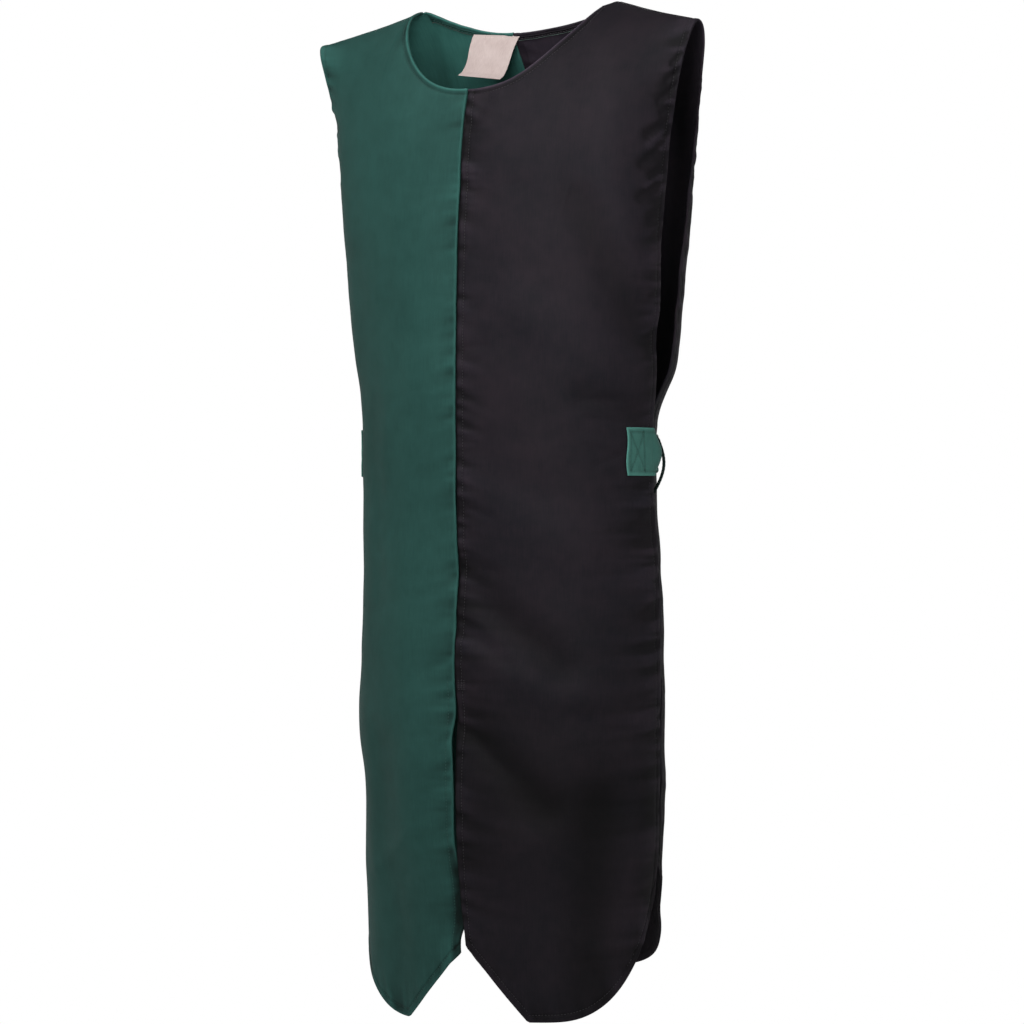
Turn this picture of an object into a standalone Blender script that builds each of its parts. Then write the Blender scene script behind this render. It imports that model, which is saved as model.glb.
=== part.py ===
"""A sleeveless medieval surcoat of cotton cloth, one half green and one half black, filled out as worn.

Metres. X runs to the wearer's left, Y to the wearer's back, Z up. The origin is between the neck ends of the
two shoulder seams, where the wearer's shoulders carry the cloth. The wearer's right half is green and the left
half black. The sides are open from the shoulder to the hem and are held together at the waist by two straps.
"""

import math

import bpy
import numpy as np

# Cut and cloth
HALF_CUT = 0.235            # width of each half, from the centre seam to its side edge
CLOTH = 0.0015              # thickness of a panel's wall
GAP = 0.0003                # space between two pieces at a seam
NECK_HALF_WIDTH = 0.122
NECK_DEPTH = {"front": 0.0965, "back": 0.026}
NECK_ROUNDNESS = {"front": 2.5, "back": 2.0}
BACK_SEAM_LEAN = -0.020     # the back seam's top sits this far towards the wearer's right
SHOULDER_TIP_X = 0.2335
SHOULDER_TIP_Y = -0.033
SHOULDER_DROP = {"green": 0.037, "black": 0.027}
ARMHOLE_LEAN = {"green": 0.55, "black": 1.0}
YOKE_Z = -0.200             # below this height the cloth hangs, above it lies over the shoulders

# Hem: each half ends in one dag, a tapered tab with a blunt end
DAG_CORNER_Z = -1.0065      # where the tab starts to taper, at the centre slit
DAG_DEPTH = 0.080
DAG_INNER_TAPER = 0.0793    # width of the straight taper beside the slit
DAG_OUTER_RISE = 0.133      # how far the curve beside the side edge rises, up to that edge
DAG_OUTER_TAPER = {"front_green": 0.160, "front_black": 0.155, "back_green": 0.160, "back_black": 0.160}
DAG_OUTER_POWER = {"front_green": 2.1, "front_black": 3.6, "back_green": 2.1, "back_black": 2.1}
BACK_HEM_RISE = 0.059       # the back hangs this much shorter than the front, at the centre seam
BACK_HEM_TILT = 0.027       # more of the same at the green side edge, and less at the black one
HEM_ZONE_Z = -0.900
SLIT_TOP_Z = -0.725
SLIT_GAP = 0.0020
SLIT_MOUTH = 0.0075         # further opening of the slit over its last 50 mm

# Trimmings
NECK_HEM = 0.007            # width of the turned neck edge, and of the strip that backs it inside
FACING_THICKNESS = 0.0008
STRAP_TOP_Z = -0.4575
STRAP_HEIGHT = 0.051
STRAP_THICKNESS = 0.0020
STRAP_ON_FRONT = 0.0425     # length of strap sewn on the front, up to the front's side edge
STRAP_ON_BACK = 0.037
STRAP_LOOSE_BACK = 0.022    # the strap meets the back this far behind the back's side edge
STRAP_BULGE = 0.0015
LOOP_DIAMETER = 0.0032
LOOP_TOP_DROP = 0.011       # below the strap's top edge
LOOP_BOTTOM_DROP = 0.0155   # below the strap's lower edge
LOOP_BULGE = 0.0085
LOOP_STRAP_COLUMN = 8       # the column of the strap's grid that the loop hangs from
LOOP_FROM_BACK_EDGE = 0.010
LOOP_CLEARANCE = 0.0006
LABEL_WIDTH = 0.058
LABEL_LENGTH = 0.057
LABEL_CENTRE_X = -0.0405
LABEL_TOP_Z = -0.0260
LABEL_THICKNESS = 0.0009
LABEL_CLEARANCE = 0.0015
LABEL_SWING = 0.031         # how far the label's lower edge stands forward of its top
LABEL_DRIFT = -0.0025       # sideways shift of its lower edge
LABEL_TURN = 0.004          # how much further forward its left end stands at the lower edge
LABEL_CURL = 0.0035         # how much its left end bows forward half-way down
LABEL_TILT = 0.004          # how much lower its left end hangs

# Level sections of the hanging cloth. Each half is a quarter of an ellipse: it starts at the centre seam, at
# centre_y, and ends at the side edge, at edge_y and half_width, where it runs straight back.
SECTION_COLUMNS = ("z", "half_width", "edge_y", "centre_y")
SECTIONS = {
    "front": (
        (-0.200, 0.1975, -0.0380, -0.1320),
        (-0.248, 0.1934, -0.0385, -0.1368),
        (-0.322, 0.1870, -0.0340, -0.1400),
        (-0.391, 0.1810, -0.0300, -0.1415),
        (-0.449, 0.1765, -0.0275, -0.1420),
        (-0.534, 0.1775, -0.0250, -0.1390),
        (-0.640, 0.1790, -0.0180, -0.1400),
        (-0.746, 0.1800, -0.0180, -0.1430),
        (-0.852, 0.1755, -0.0135, -0.1450),
        (-0.916, 0.1745, -0.0150, -0.1410),
        (-0.958, 0.1720, -0.0175, -0.1340),
        (-1.090, 0.1680, -0.0200, -0.1260),
    ),
    "back": (
        (-0.200, 0.1950, 0.0200, 0.0980),
        (-0.279, 0.1840, 0.0220, 0.1120),
        (-0.332, 0.1780, 0.0220, 0.1170),
        (-0.391, 0.1710, 0.0190, 0.1150),
        (-0.445, 0.1600, 0.0000, 0.0980),
        (-0.520, 0.1620, -0.0080, 0.0880),
        (-0.640, 0.1735, -0.0100, 0.0910),
        (-0.750, 0.1755, -0.0080, 0.0970),
        (-0.850, 0.1725, -0.0030, 0.1000),
        (-0.940, 0.1705, -0.0060, 0.0960),
        (-1.060, 0.1660, -0.0080, 0.0920),
    ),
}

# How the cloth leaves the shoulder line, from the centre (across 0) to the armhole (across 1): how far it runs
# level, how far it falls meanwhile, and how it leans outward and forward above the yoke.
YOKE_COLUMNS = ("across", "run", "fall", "lift", "lean_x", "lean_y")
YOKES = {
    "front": (
        (0.00, 0.095, 0.014, 0.100, 0.000, 0.000),
        (0.52, 0.072, 0.003, 0.100, 0.000, 0.000),
        (0.76, 0.045, 0.001, 0.095, 0.005, -0.003),
        (1.00, 0.022, 0.000, 0.090, 0.012, -0.006),
    ),
    "back": (
        (0.00, 0.008, 0.020, 0.090, 0.000, -0.012),
        (0.52, 0.026, 0.004, 0.090, 0.000, -0.006),
        (0.76, 0.032, 0.001, 0.090, 0.005, -0.004),
        (1.00, 0.034, 0.000, 0.090, 0.012, -0.004),
    ),
}

# The largest folds, as soft ridges (height above 0) and troughs (below 0). across runs from -1 at the green
# half's side edge through 0 at the centre seam to 1 at the black half's side edge.
FOLD_COLUMNS = ("start_across", "start_z", "end_across", "end_z", "spread", "height")
FOLDS = {
    "front": (
        (0.56, -0.215, 0.88, -0.360, 0.022, -0.0045),
        (0.70, -0.195, 0.97, -0.330, 0.022, 0.0025),
        (0.30, -0.330, 0.86, -0.405, 0.030, 0.0030),
        (0.62, -0.425, 0.90, -0.446, 0.016, -0.0030),
        (0.10, -0.530, 0.60, -0.590, 0.030, 0.0035),
        (0.04, -0.612, 0.48, -0.712, 0.022, -0.0055),
        (0.08, -0.700, 0.55, -0.745, 0.026, 0.0045),
        (0.04, -0.762, 0.42, -0.860, 0.022, -0.0055),
        (0.66, -0.860, 0.64, -1.070, 0.028, -0.0060),
        (0.88, -0.800, 0.86, -1.000, 0.026, 0.0035),
        (0.30, -0.900, 0.34, -1.060, 0.030, 0.0040),
        (-0.30, -0.230, -0.18, -0.420, 0.030, 0.0030),
        (-0.62, -0.280, -0.58, -0.520, 0.032, -0.0030),
        (-0.86, -0.420, -0.86, -0.700, 0.036, -0.0045),
        (-0.78, -0.840, -0.70, -0.900, 0.030, -0.0030),
        (-0.30, -0.600, -0.22, -0.880, 0.030, 0.0035),
        (-0.48, -0.800, -0.40, -1.060, 0.028, -0.0045),
    ),
    "back": (
        (0.30, -0.300, 0.34, -0.560, 0.030, 0.0035),
        (0.62, -0.330, 0.52, -0.620, 0.028, -0.0040),
        (0.28, -0.560, 0.30, -1.030, 0.032, -0.0075),
        (0.55, -0.600, 0.56, -1.040, 0.032, 0.0070),
        (0.82, -0.620, 0.80, -0.960, 0.028, -0.0050),
        (-0.34, -0.280, -0.30, -0.540, 0.030, -0.0035),
        (-0.60, -0.340, -0.66, -0.600, 0.030, 0.0035),
        (-0.26, -0.580, -0.30, -1.040, 0.032, 0.0070),
        (-0.54, -0.560, -0.52, -1.030, 0.032, -0.0075),
        (-0.80, -0.640, -0.78, -0.980, 0.028, 0.0050),
    ),
}

# Columns of the wall's grid, as shares of a half's cut. The neck's end, the dag's corner and the ends of the
# strap lie on columns, and the strap's edges lie on rows.
NECK_ACROSS = NECK_HALF_WIDTH / SHOULDER_TIP_X
DAG_INNER_ACROSS = DAG_INNER_TAPER / HALF_CUT
BACK_LANDING_ACROSS = 1.0 - STRAP_LOOSE_BACK / HALF_CUT
BACK_END_ACROSS = BACK_LANDING_ACROSS - STRAP_ON_BACK / HALF_CUT
FRONT_END_ACROSS = 1.0 - STRAP_ON_FRONT / HALF_CUT
COLUMNS = (0.0, 0.08, 0.16, 0.245, DAG_INNER_ACROSS, 0.39, 0.455, NECK_ACROSS, 0.59, 0.665,
           BACK_END_ACROSS, FRONT_END_ACROSS, BACK_LANDING_ACROSS, 0.96, 1.0)
NECK_COLUMNS = COLUMNS.index(NECK_ACROSS) + 1
YOKE_ROWS = 9
ROWS_ABOVE_STRAP = 9
STRAP_ROWS = 3
ROWS_BELOW_STRAP = 12
HEM_ROWS = 6
STRAP_FIRST_ROW = 1 + YOKE_ROWS + ROWS_ABOVE_STRAP

GREEN = ("green_cotton", (0.030, 0.085, 0.070, 1.0), 0.85)
BLACK = ("black_cotton", (0.018, 0.016, 0.019, 1.0), 0.85)
CREAM = ("label_cotton", (0.62, 0.50, 0.46, 1.0), 0.80)
DARK_GREEN = ("loop_cord", (0.006, 0.018, 0.014, 1.0), 0.75)
HALVES = {"green": (-1, GREEN), "black": (1, BLACK)}
FACES = ("front", "back")
ELLIPSE_ANGLES = np.linspace(0.0, math.pi / 2, 49)
STEP = 1e-4                 # step of the differences that give a surface's normals
NEAR = 0.01                 # step along the neck's outline when its turned edge is measured


def clear_scene():
    for obj in list(bpy.data.objects):
        bpy.data.objects.remove(obj, do_unlink=True)


def ease(x):
    """0 below 0, 1 above 1, and smooth between."""
    x = min(max(x, 0.0), 1.0)
    return x * x * (3.0 - 2.0 * x)


def smooth_table(rows):
    """A table's first column in rising order, its rows, and their slopes."""
    rows = np.array(sorted(rows))
    return rows[:, 0], rows, np.gradient(rows, rows[:, 0], axis=0)


SMOOTH_SECTIONS = {face: smooth_table(SECTIONS[face]) for face in FACES}
SMOOTH_YOKES = {face: smooth_table(YOKES[face]) for face in FACES}


def read(table, columns, at):
    """A smooth table's row at a value of its first column, as a dict."""
    keys, rows, slopes = table
    at = min(max(at, keys[0]), keys[-1])
    i = int(min(np.searchsorted(keys, at, side="right") - 1, len(keys) - 2))
    span = keys[i + 1] - keys[i]
    t = (at - keys[i]) / span
    value = ((1 + 2 * t) * (1 - t) ** 2 * rows[i] + t * (1 - t) ** 2 * span * slopes[i]
             + t * t * (3 - 2 * t) * rows[i + 1] + t * t * (t - 1) * span * slopes[i + 1])
    return dict(zip(columns, value))


def ellipse_angle(share, half_width, depth):
    """The angle on a quarter ellipse at a share of its length, counted from the centre seam."""
    steps = np.hypot(half_width * np.cos(ELLIPSE_ANGLES), depth * np.sin(ELLIPSE_ANGLES))
    along = np.concatenate([[0.0], np.cumsum((steps[1:] + steps[:-1]) / 2)])
    return float(np.interp(share * along[-1], along, ELLIPSE_ANGLES))


def fold_height(face, across, z):
    """How far the folds push the cloth outward at a place."""
    height = 0.0
    for values in FOLDS[face]:
        fold = dict(zip(FOLD_COLUMNS, values))
        start = np.array([fold["start_across"] * HALF_CUT, fold["start_z"]])
        run = np.array([fold["end_across"] * HALF_CUT, fold["end_z"]]) - start
        place = np.array([across * HALF_CUT, z]) - start
        along = float(place @ run / (run @ run))
        off = place - min(max(along, 0.0), 1.0) * run
        height += fold["height"] * math.exp(-float(off @ off) / fold["spread"] ** 2)
    return height


def hanging_point(face, across, z):
    """A point of the cloth below the yoke."""
    row = read(SMOOTH_SECTIONS[face], SECTION_COLUMNS, z)
    depth = row["centre_y"] - row["edge_y"]
    angle = ellipse_angle(abs(across), row["half_width"], abs(depth))
    side = math.copysign(1.0, across)
    outward = np.array([side * math.sin(angle) / row["half_width"], math.cos(angle) / depth])
    outward /= np.linalg.norm(outward)
    bulge = fold_height(face, across, z)
    x = side * row["half_width"] * math.sin(angle) + outward[0] * bulge
    y = row["edge_y"] + depth * math.cos(angle) + outward[1] * bulge
    return np.array([x, y, z])


def shoulder_point(across):
    """A point of the shoulder line, carried on level across the neck."""
    beyond = max(abs(across) - NECK_ACROSS, 0.0) / (1.0 - NECK_ACROSS)
    drop = SHOULDER_DROP["black" if across > 0 else "green"]
    return np.array([across * SHOULDER_TIP_X, SHOULDER_TIP_Y * beyond ** 1.3, -drop * beyond ** 0.9])


def yoke_curve(face, across):
    """The four control points of the curve from the shoulder line down to the hanging cloth."""
    row = read(SMOOTH_YOKES[face], YOKE_COLUMNS, abs(across))
    side = math.copysign(1.0, across)
    forward = -1.0 if face == "front" else 1.0
    top = shoulder_point(across)
    low = hanging_point(face, across, YOKE_Z)
    leave = top + (0.0, forward * row["run"], -row["fall"])
    lean = side * row["lean_x"] * ARMHOLE_LEAN["black" if across > 0 else "green"]
    arrive = low + (lean, row["lean_y"], row["lift"])
    return top, leave, arrive, low


def cloth_point(face, across, down):
    """A point of the outer surface. down is 0 on the shoulder line, 1 at the yoke, and 1 more for each metre."""
    if down >= 1.0:
        point = hanging_point(face, across, YOKE_Z + 1.0 - down)
    else:
        up = 1.0 - down
        top, leave, arrive, low = yoke_curve(face, across)
        point = up ** 3 * top + 3 * up * up * down * leave + 3 * up * down * down * arrive + down ** 3 * low
    point = point.copy()
    if face == "back":
        near_seam = max(1.0 - (across / NECK_ACROSS) ** 2, 0.0) ** 2
        point[0] += BACK_SEAM_LEAN * near_seam * (1.0 - ease(-point[2] / 0.5))
    return point


def slit_gap(face, z):
    """The space between the two halves at the centre."""
    hem_lift = BACK_HEM_RISE if face == "back" else 0.0
    opened = SLIT_GAP * ease((SLIT_TOP_Z - z) / 0.08)
    mouth = SLIT_MOUTH * ease((DAG_CORNER_Z + hem_lift + 0.045 - z) / 0.05)
    return GAP + opened + mouth


def placed_point(face, colour, share, down):
    """A point of one half's outer surface, with the centre gap taken off."""
    side = HALVES[colour][0]
    point = cloth_point(face, side * max(share, 1e-6), down)
    point[0] += side * slit_gap(face, point[2]) / 2 * (1.0 - share) ** 3
    return point


def outward_normal(face, colour, share, down):
    """The unit normal of a half's outer surface."""
    share_from, share_to = max(share - STEP, 0.0), min(share + STEP, 1.0)
    down_from = max(down - STEP, 0.0)
    along_share = (placed_point(face, colour, share_to, down) - placed_point(face, colour, share_from, down))
    along_down = (placed_point(face, colour, share, down + STEP)
                  - placed_point(face, colour, share, down_from))
    normal = np.cross(along_down, along_share)
    if (face == "front") != (colour == "black"):
        normal = -normal
    return normal / np.linalg.norm(normal)


def hem_z(face, colour, share):
    """The height of the hem's outline."""
    panel = f"{face}_{colour}"
    width = share * HALF_CUT
    inner = min(width / DAG_INNER_TAPER, 1.0)
    outer = max(1.0 - (HALF_CUT - width) / DAG_OUTER_TAPER[panel], 0.0) ** DAG_OUTER_POWER[panel]
    lift = BACK_HEM_RISE - HALVES[colour][0] * share * BACK_HEM_TILT if face == "back" else 0.0
    return DAG_CORNER_Z + lift - DAG_DEPTH * inner + DAG_OUTER_RISE * outer


def top_down(face, colour, share):
    """Where a half's cloth starts: on the neck's outline, or on the shoulder seam."""
    side = HALVES[colour][0]
    run = read(SMOOTH_YOKES[face], YOKE_COLUMNS, share)["run"]
    seam = GAP / 2 / (3.0 * run)
    if share >= NECK_ACROSS - 1e-6:
        return seam
    neck_z = -NECK_DEPTH[face] * (1.0 - (share / NECK_ACROSS) ** NECK_ROUNDNESS[face])
    downs = np.linspace(0.0, 1.0, 81)
    heights = [cloth_point(face, side * max(share, 1e-6), d)[2] for d in downs]
    return max(float(np.interp(-neck_z, -np.array(heights), downs)), seam)


def hem_line_down(face, colour, share):
    """Where the neck's turned edge ends: its width below the neck's outline, measured square to it."""
    start = top_down(face, colour, share)
    ahead = share + NEAR if share + NEAR < NECK_ACROSS else share - NEAR
    here = placed_point(face, colour, share, start)
    outline = placed_point(face, colour, ahead, top_down(face, colour, ahead)) - here
    column = placed_point(face, colour, share, start + NEAR) - here
    column_length = np.linalg.norm(column)
    square = np.linalg.norm(np.cross(outline, column)) / np.linalg.norm(outline) / column_length
    return start + NEAR * NECK_HEM / (square * column_length)


def rows_of(face, colour, share):
    """The down values of one column's points, from the neck or shoulder to the hem."""
    end = 1.0 + YOKE_Z - hem_z(face, colour, share)
    strap_top, strap_bottom, hem_start = (
        1.0 + YOKE_Z - z for z in (STRAP_TOP_Z, STRAP_TOP_Z - STRAP_HEIGHT, HEM_ZONE_Z))
    hem_line = hem_line_down(face, colour, min(share, NECK_ACROSS))
    parts = (
        [top_down(face, colour, share)],
        np.linspace(hem_line, 1.0, YOKE_ROWS + 1),
        np.linspace(1.0, strap_top, ROWS_ABOVE_STRAP + 1)[1:],
        np.linspace(strap_top, strap_bottom, STRAP_ROWS)[1:],
        np.linspace(strap_bottom, hem_start, ROWS_BELOW_STRAP + 1)[1:],
        np.linspace(hem_start, end, HEM_ROWS + 1)[1:],
    )
    return np.concatenate(parts)


def material(look):
    name, colour, roughness = look
    found = bpy.data.materials.get(name)
    if found:
        return found
    made = bpy.data.materials.new(name)
    made.use_nodes = True
    shader = made.node_tree.nodes["Principled BSDF"]
    shader.inputs["Base Color"].default_value = colour
    shader.inputs["Roughness"].default_value = roughness
    shader.inputs["Metallic"].default_value = 0.0
    return made


def make_wall(name, outer, inner, look):
    """A closed wall between two grids of points of the same size."""
    rows, columns = outer.shape[:2]
    points = np.concatenate([outer.reshape(-1, 3), inner.reshape(-1, 3)])
    under = rows * columns

    def index(i, j):
        return i * columns + j

    faces = []
    for i in range(rows - 1):
        for j in range(columns - 1):
            a, b, c, d = index(i, j), index(i + 1, j), index(i + 1, j + 1), index(i, j + 1)
            faces += [(a, b, c), (a, c, d)]
            faces += [(under + c, under + b, under + a), (under + d, under + c, under + a)]
    border = ([index(0, j) for j in range(columns)]
              + [index(i, columns - 1) for i in range(1, rows)]
              + [index(rows - 1, j) for j in range(columns - 2, -1, -1)]
              + [index(i, 0) for i in range(rows - 2, 0, -1)])
    for here, there in zip(border, border[1:] + border[:1]):
        faces += [(here, there, under + there), (here, under + there, under + here)]
    mesh = bpy.data.meshes.new(name)
    mesh.from_pydata([tuple(p) for p in points], [], faces)
    corner = points[list(faces[0])]
    facing = np.cross(corner[1] - corner[0], corner[2] - corner[0])
    if facing @ (outer[0, 0] - inner[0, 0]) < 0:
        mesh.flip_normals()
    mesh.shade_smooth()
    mesh.set_sharp_from_angle(angle=math.radians(50))
    mesh.materials.append(material(look))
    obj = bpy.data.objects.new(name, mesh)
    bpy.context.scene.collection.objects.link(obj)
    return obj


def panel_grid(face, colour):
    """The panel's outer points and their normals, as rows of columns."""
    points, normals = [], []
    for share in COLUMNS:
        downs = rows_of(face, colour, share)
        points.append([placed_point(face, colour, share, d) for d in downs])
        normals.append([outward_normal(face, colour, share, d) for d in downs])
    return np.array(points).transpose(1, 0, 2), np.array(normals).transpose(1, 0, 2)


def make_panel(face, colour, grid):
    """One quarter of the garment: half of the front or of the back."""
    points, normals = grid
    make_wall(f"{face}_{colour}", points, points - CLOTH * normals, HALVES[colour][1])


def make_neck_facing(colour, grid):
    """The narrow strip sewn inside the back's neck edge, on one half."""
    points, normals = (part[:2, :NECK_COLUMNS] for part in grid)
    outer = points - (CLOTH + GAP) * normals
    make_wall(f"neck_facing_{colour}", outer, outer - FACING_THICKNESS * normals, HALVES[colour][1])


def bezier(points, t):
    """A point of the cubic curve with these four control points."""
    a, b, c, d = points
    u = 1.0 - t
    return u ** 3 * a + 3 * u * u * t * b + 3 * u * t * t * c + t ** 3 * d


def strap_grid(colour, grids):
    """The strap's inner face: points on the front, round the open side, and on the back, one row for each height."""
    rows = slice(STRAP_FIRST_ROW, STRAP_FIRST_ROW + STRAP_ROWS)
    side = HALVES[colour][0]
    moved = {face: points + GAP * normals for face, (points, normals) in grids.items()}
    front = moved["front"][rows, COLUMNS.index(FRONT_END_ACROSS):]
    back = moved["back"][rows, COLUMNS.index(BACK_END_ACROSS):COLUMNS.index(BACK_LANDING_ACROSS) + 1][:, ::-1]
    lines = []
    for k, (on_front, on_back) in enumerate(zip(front, back)):
        leaving = (on_front[-1] - on_front[-2]) / np.linalg.norm(on_front[-1] - on_front[-2])
        arriving = (on_back[1] - on_back[0]) / np.linalg.norm(on_back[1] - on_back[0])
        reach = 0.35 * np.linalg.norm(on_back[0] - on_front[-1])
        middle = k / (STRAP_ROWS - 1)
        bulge = np.array([side * STRAP_BULGE * (0.4 + 0.6 * math.sin(math.pi * middle)), 0.0, 0.0])
        curve = (on_front[-1], on_front[-1] + leaving * reach + bulge,
                 on_back[0] - arriving * reach + bulge, on_back[0])
        loose = [bezier(curve, t) for t in np.linspace(0.0, 1.0, 8)[1:-1]]
        lines.append([*on_front, *loose, *on_back])
    return np.array(lines)


def outward_of(points, side):
    """The unit normals of a grid of points that lies at one side of the body."""
    out = np.cross(np.gradient(points, axis=1), np.gradient(points, axis=0))
    out /= np.linalg.norm(out, axis=2, keepdims=True)
    return out if out[0, 0] @ (side, -1.0, 0.0) > 0 else -out


def make_strap(name, colour, inner):
    """The strap that holds the front and back together at one side of the waist."""
    out = outward_of(inner, HALVES[colour][0])
    make_wall(name, inner + STRAP_THICKNESS * out, inner, GREEN)


def make_belt_loop(name, colour, strap_inner):
    """The upright loop of cord that keeps a belt at the waist, from the strap down to the back's side edge."""
    side = HALVES[colour][0]
    bottom_z = STRAP_TOP_Z - STRAP_HEIGHT - LOOP_BOTTOM_DROP
    radius = LOOP_DIAMETER / 2
    clear = STRAP_THICKNESS + LOOP_CLEARANCE + radius
    top_row = strap_inner[0] + (strap_inner[1] - strap_inner[0]) * LOOP_TOP_DROP / (STRAP_HEIGHT / 2)
    start = top_row[LOOP_STRAP_COLUMN] + (side * clear, 0.0, 0.0)
    share = 1.0 - LOOP_FROM_BACK_EDGE / HALF_CUT
    down = 1.0 + YOKE_Z - bottom_z
    outward = outward_normal("back", colour, share, down)
    end = placed_point("back", colour, share, down) + (LOOP_CLEARANCE + radius) * outward
    curve = bpy.data.curves.new(name, "CURVE")
    curve.dimensions = "3D"
    curve.bevel_depth = radius
    curve.bevel_resolution = 2
    curve.use_fill_caps = True
    spline = curve.splines.new("POLY")
    turns = np.linspace(0.0, 1.0, 15)
    spline.points.add(len(turns) - 1)
    for place, t in zip(spline.points, turns):
        x, y, z = start + (end - start) * t + (side * LOOP_BULGE * math.sin(math.pi * t), 0.0, 0.0)
        place.co = (x, y, z, 1.0)
    curve.materials.append(material(DARK_GREEN))
    obj = bpy.data.objects.new(name, curve)
    bpy.context.scene.collection.objects.link(obj)


def neck_edge_y(z):
    """How far back the cloth of the back lies at a height near the neck, where the label is sewn."""
    downs = np.linspace(0.0, 1.0, 201)
    heights = [cloth_point("back", LABEL_CENTRE_X / HALF_CUT, down)[2] for down in downs]
    down = float(np.interp(-z, [-height for height in heights], downs))
    ends = (LABEL_CENTRE_X - LABEL_WIDTH / 2, LABEL_CENTRE_X, LABEL_CENTRE_X + LABEL_WIDTH / 2)
    return min(cloth_point("back", x / HALF_CUT, down)[1] for x in ends)


def make_label():
    """The blank woven label, sewn by its top edge inside the back of the neck and swung forward."""
    top_y = neck_edge_y(LABEL_TOP_Z) - CLOTH - GAP - FACING_THICKNESS - GAP - LABEL_CLEARANCE
    drop = math.sqrt(LABEL_LENGTH ** 2 - LABEL_SWING ** 2)
    front = []
    for t in np.linspace(0.0, 1.0, 7):
        forward = LABEL_SWING * (t + t * t) / 2
        row = []
        for across in np.linspace(0.0, 1.0, 7):
            turned = across * (LABEL_TURN * t + LABEL_CURL * math.sin(math.pi * t))
            row.append((LABEL_CENTRE_X + (across - 0.5) * LABEL_WIDTH + LABEL_DRIFT * t,
                        top_y - forward - turned,
                        LABEL_TOP_Z - drop * t - LABEL_TILT * across))
        front.append(row)
    front = np.array(front)
    make_wall("neck_label", front, front - LABEL_THICKNESS * outward_of(front, 0.0), CREAM)


def main():
    clear_scene()
    for colour in HALVES:
        grids = {face: panel_grid(face, colour) for face in FACES}
        for face in FACES:
            make_panel(face, colour, grids[face])
        make_neck_facing(colour, grids["back"])
        strap_inner = strap_grid(colour, grids)
        worn_side = "left" if colour == "black" else "right"
        make_strap(f"side_strap_{worn_side}", colour, strap_inner)
        make_belt_loop(f"belt_loop_{worn_side}", colour, strap_inner)
    make_label()


main()
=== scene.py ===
"""Looks of a sleeveless medieval surcoat of cotton cloth, half green and half black, filled out as worn.

Metres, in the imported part's frame: X to the wearer's left, Y to the wearer's back, Z up, and the origin
between the neck ends of the shoulder seams.
"""

import math

import bpy
import numpy as np
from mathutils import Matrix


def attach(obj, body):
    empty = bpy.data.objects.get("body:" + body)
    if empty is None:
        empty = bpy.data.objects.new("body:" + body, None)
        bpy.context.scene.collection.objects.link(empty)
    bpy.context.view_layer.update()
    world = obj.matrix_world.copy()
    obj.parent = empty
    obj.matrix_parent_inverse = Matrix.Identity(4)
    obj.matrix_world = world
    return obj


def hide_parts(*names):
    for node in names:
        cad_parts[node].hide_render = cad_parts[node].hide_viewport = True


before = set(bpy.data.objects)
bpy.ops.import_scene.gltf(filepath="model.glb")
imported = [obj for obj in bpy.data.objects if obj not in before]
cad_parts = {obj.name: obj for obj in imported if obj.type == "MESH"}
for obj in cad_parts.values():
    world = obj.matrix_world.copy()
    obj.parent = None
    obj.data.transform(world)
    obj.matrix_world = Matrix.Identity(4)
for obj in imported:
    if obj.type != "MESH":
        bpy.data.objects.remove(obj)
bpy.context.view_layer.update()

# Camera, set back from the wearer's left front
CAMERA_AZIMUTH = math.radians(30.0)
CAMERA_DISTANCE = 6.0
CAMERA_HEIGHT = -0.5595
CAMERA_LATERAL = -0.0108
IMAGE_SIZE = 1024
PIXELS_PER_METRE = 925.0    # at the origin's distance
HORIZON_ROW = 524.0
SENSOR = 36.0

# Studio
FLOOR_Z = -1.60
FLOOR_RADIUS = 4.0
FLOOR_SIDES = 64
GLOW_ABOVE = 0.12
GLOW_BELOW = 0.03
BACKDROP = 1.0              # how bright the camera sees the backdrop
FLOOR_LIFT = 0.78           # share of the floor that the camera sees as evenly lit
# Columns: name, azimuth, distance, height, size, power, aim_z
LIGHTS = (
    ("key", -12.0, 1.30, 1.05, 0.6, 17.5, -0.25),
    ("front", 24.0, 1.25, 0.06, 0.4, 6.2, -0.05),
    ("side", 84.0, 2.20, 0.15, 0.8, 4.5, -0.45),
    ("back", 208.0, 2.30, 0.35, 0.9, 15.0, -0.50),
)

# Dyes. Columns: dark, light, lint, sheen. The strap's row is the green dye made paler: painted light on the
# strap's green cloth
CLOTHS = {
    "green": ((0.0165, 0.064, 0.055), (0.024, 0.087, 0.075), (0.10, 0.17, 0.15), (0.6, 0.9, 0.8)),
    "black": ((0.009, 0.008, 0.012), (0.0185, 0.0132, 0.0185), (0.045, 0.040, 0.045), (0.9, 0.85, 0.95)),
    "strap": ((0.050, 0.160, 0.134), (0.067, 0.205, 0.173), (0.12, 0.22, 0.19), (0.6, 0.9, 0.8)),
}
# The strap's thread is made paler with its cloth: painted light.
THREADS = {
    "green": (0.024, 0.085, 0.072),
    "black": (0.034, 0.030, 0.036),
    "strap": (0.035, 0.110, 0.090),
}
CORD_COLOUR = (0.006, 0.020, 0.016)
OVERLOCK_COLOUR = (0.10, 0.14, 0.125)
CREAM_THREAD = (0.70, 0.58, 0.53)
CREAM_DARK = (0.54, 0.43, 0.405)
CREAM_LIGHT = (0.675, 0.563, 0.534)
TWILL_ANGLE = math.radians(58.0)
# How strongly the tone attribute paints light and shade into the cloth's dye
TONE_STRENGTH = 0.85
DARKEST_TONE = 0.18         # share of its dye that the darkest painted shade keeps
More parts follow.
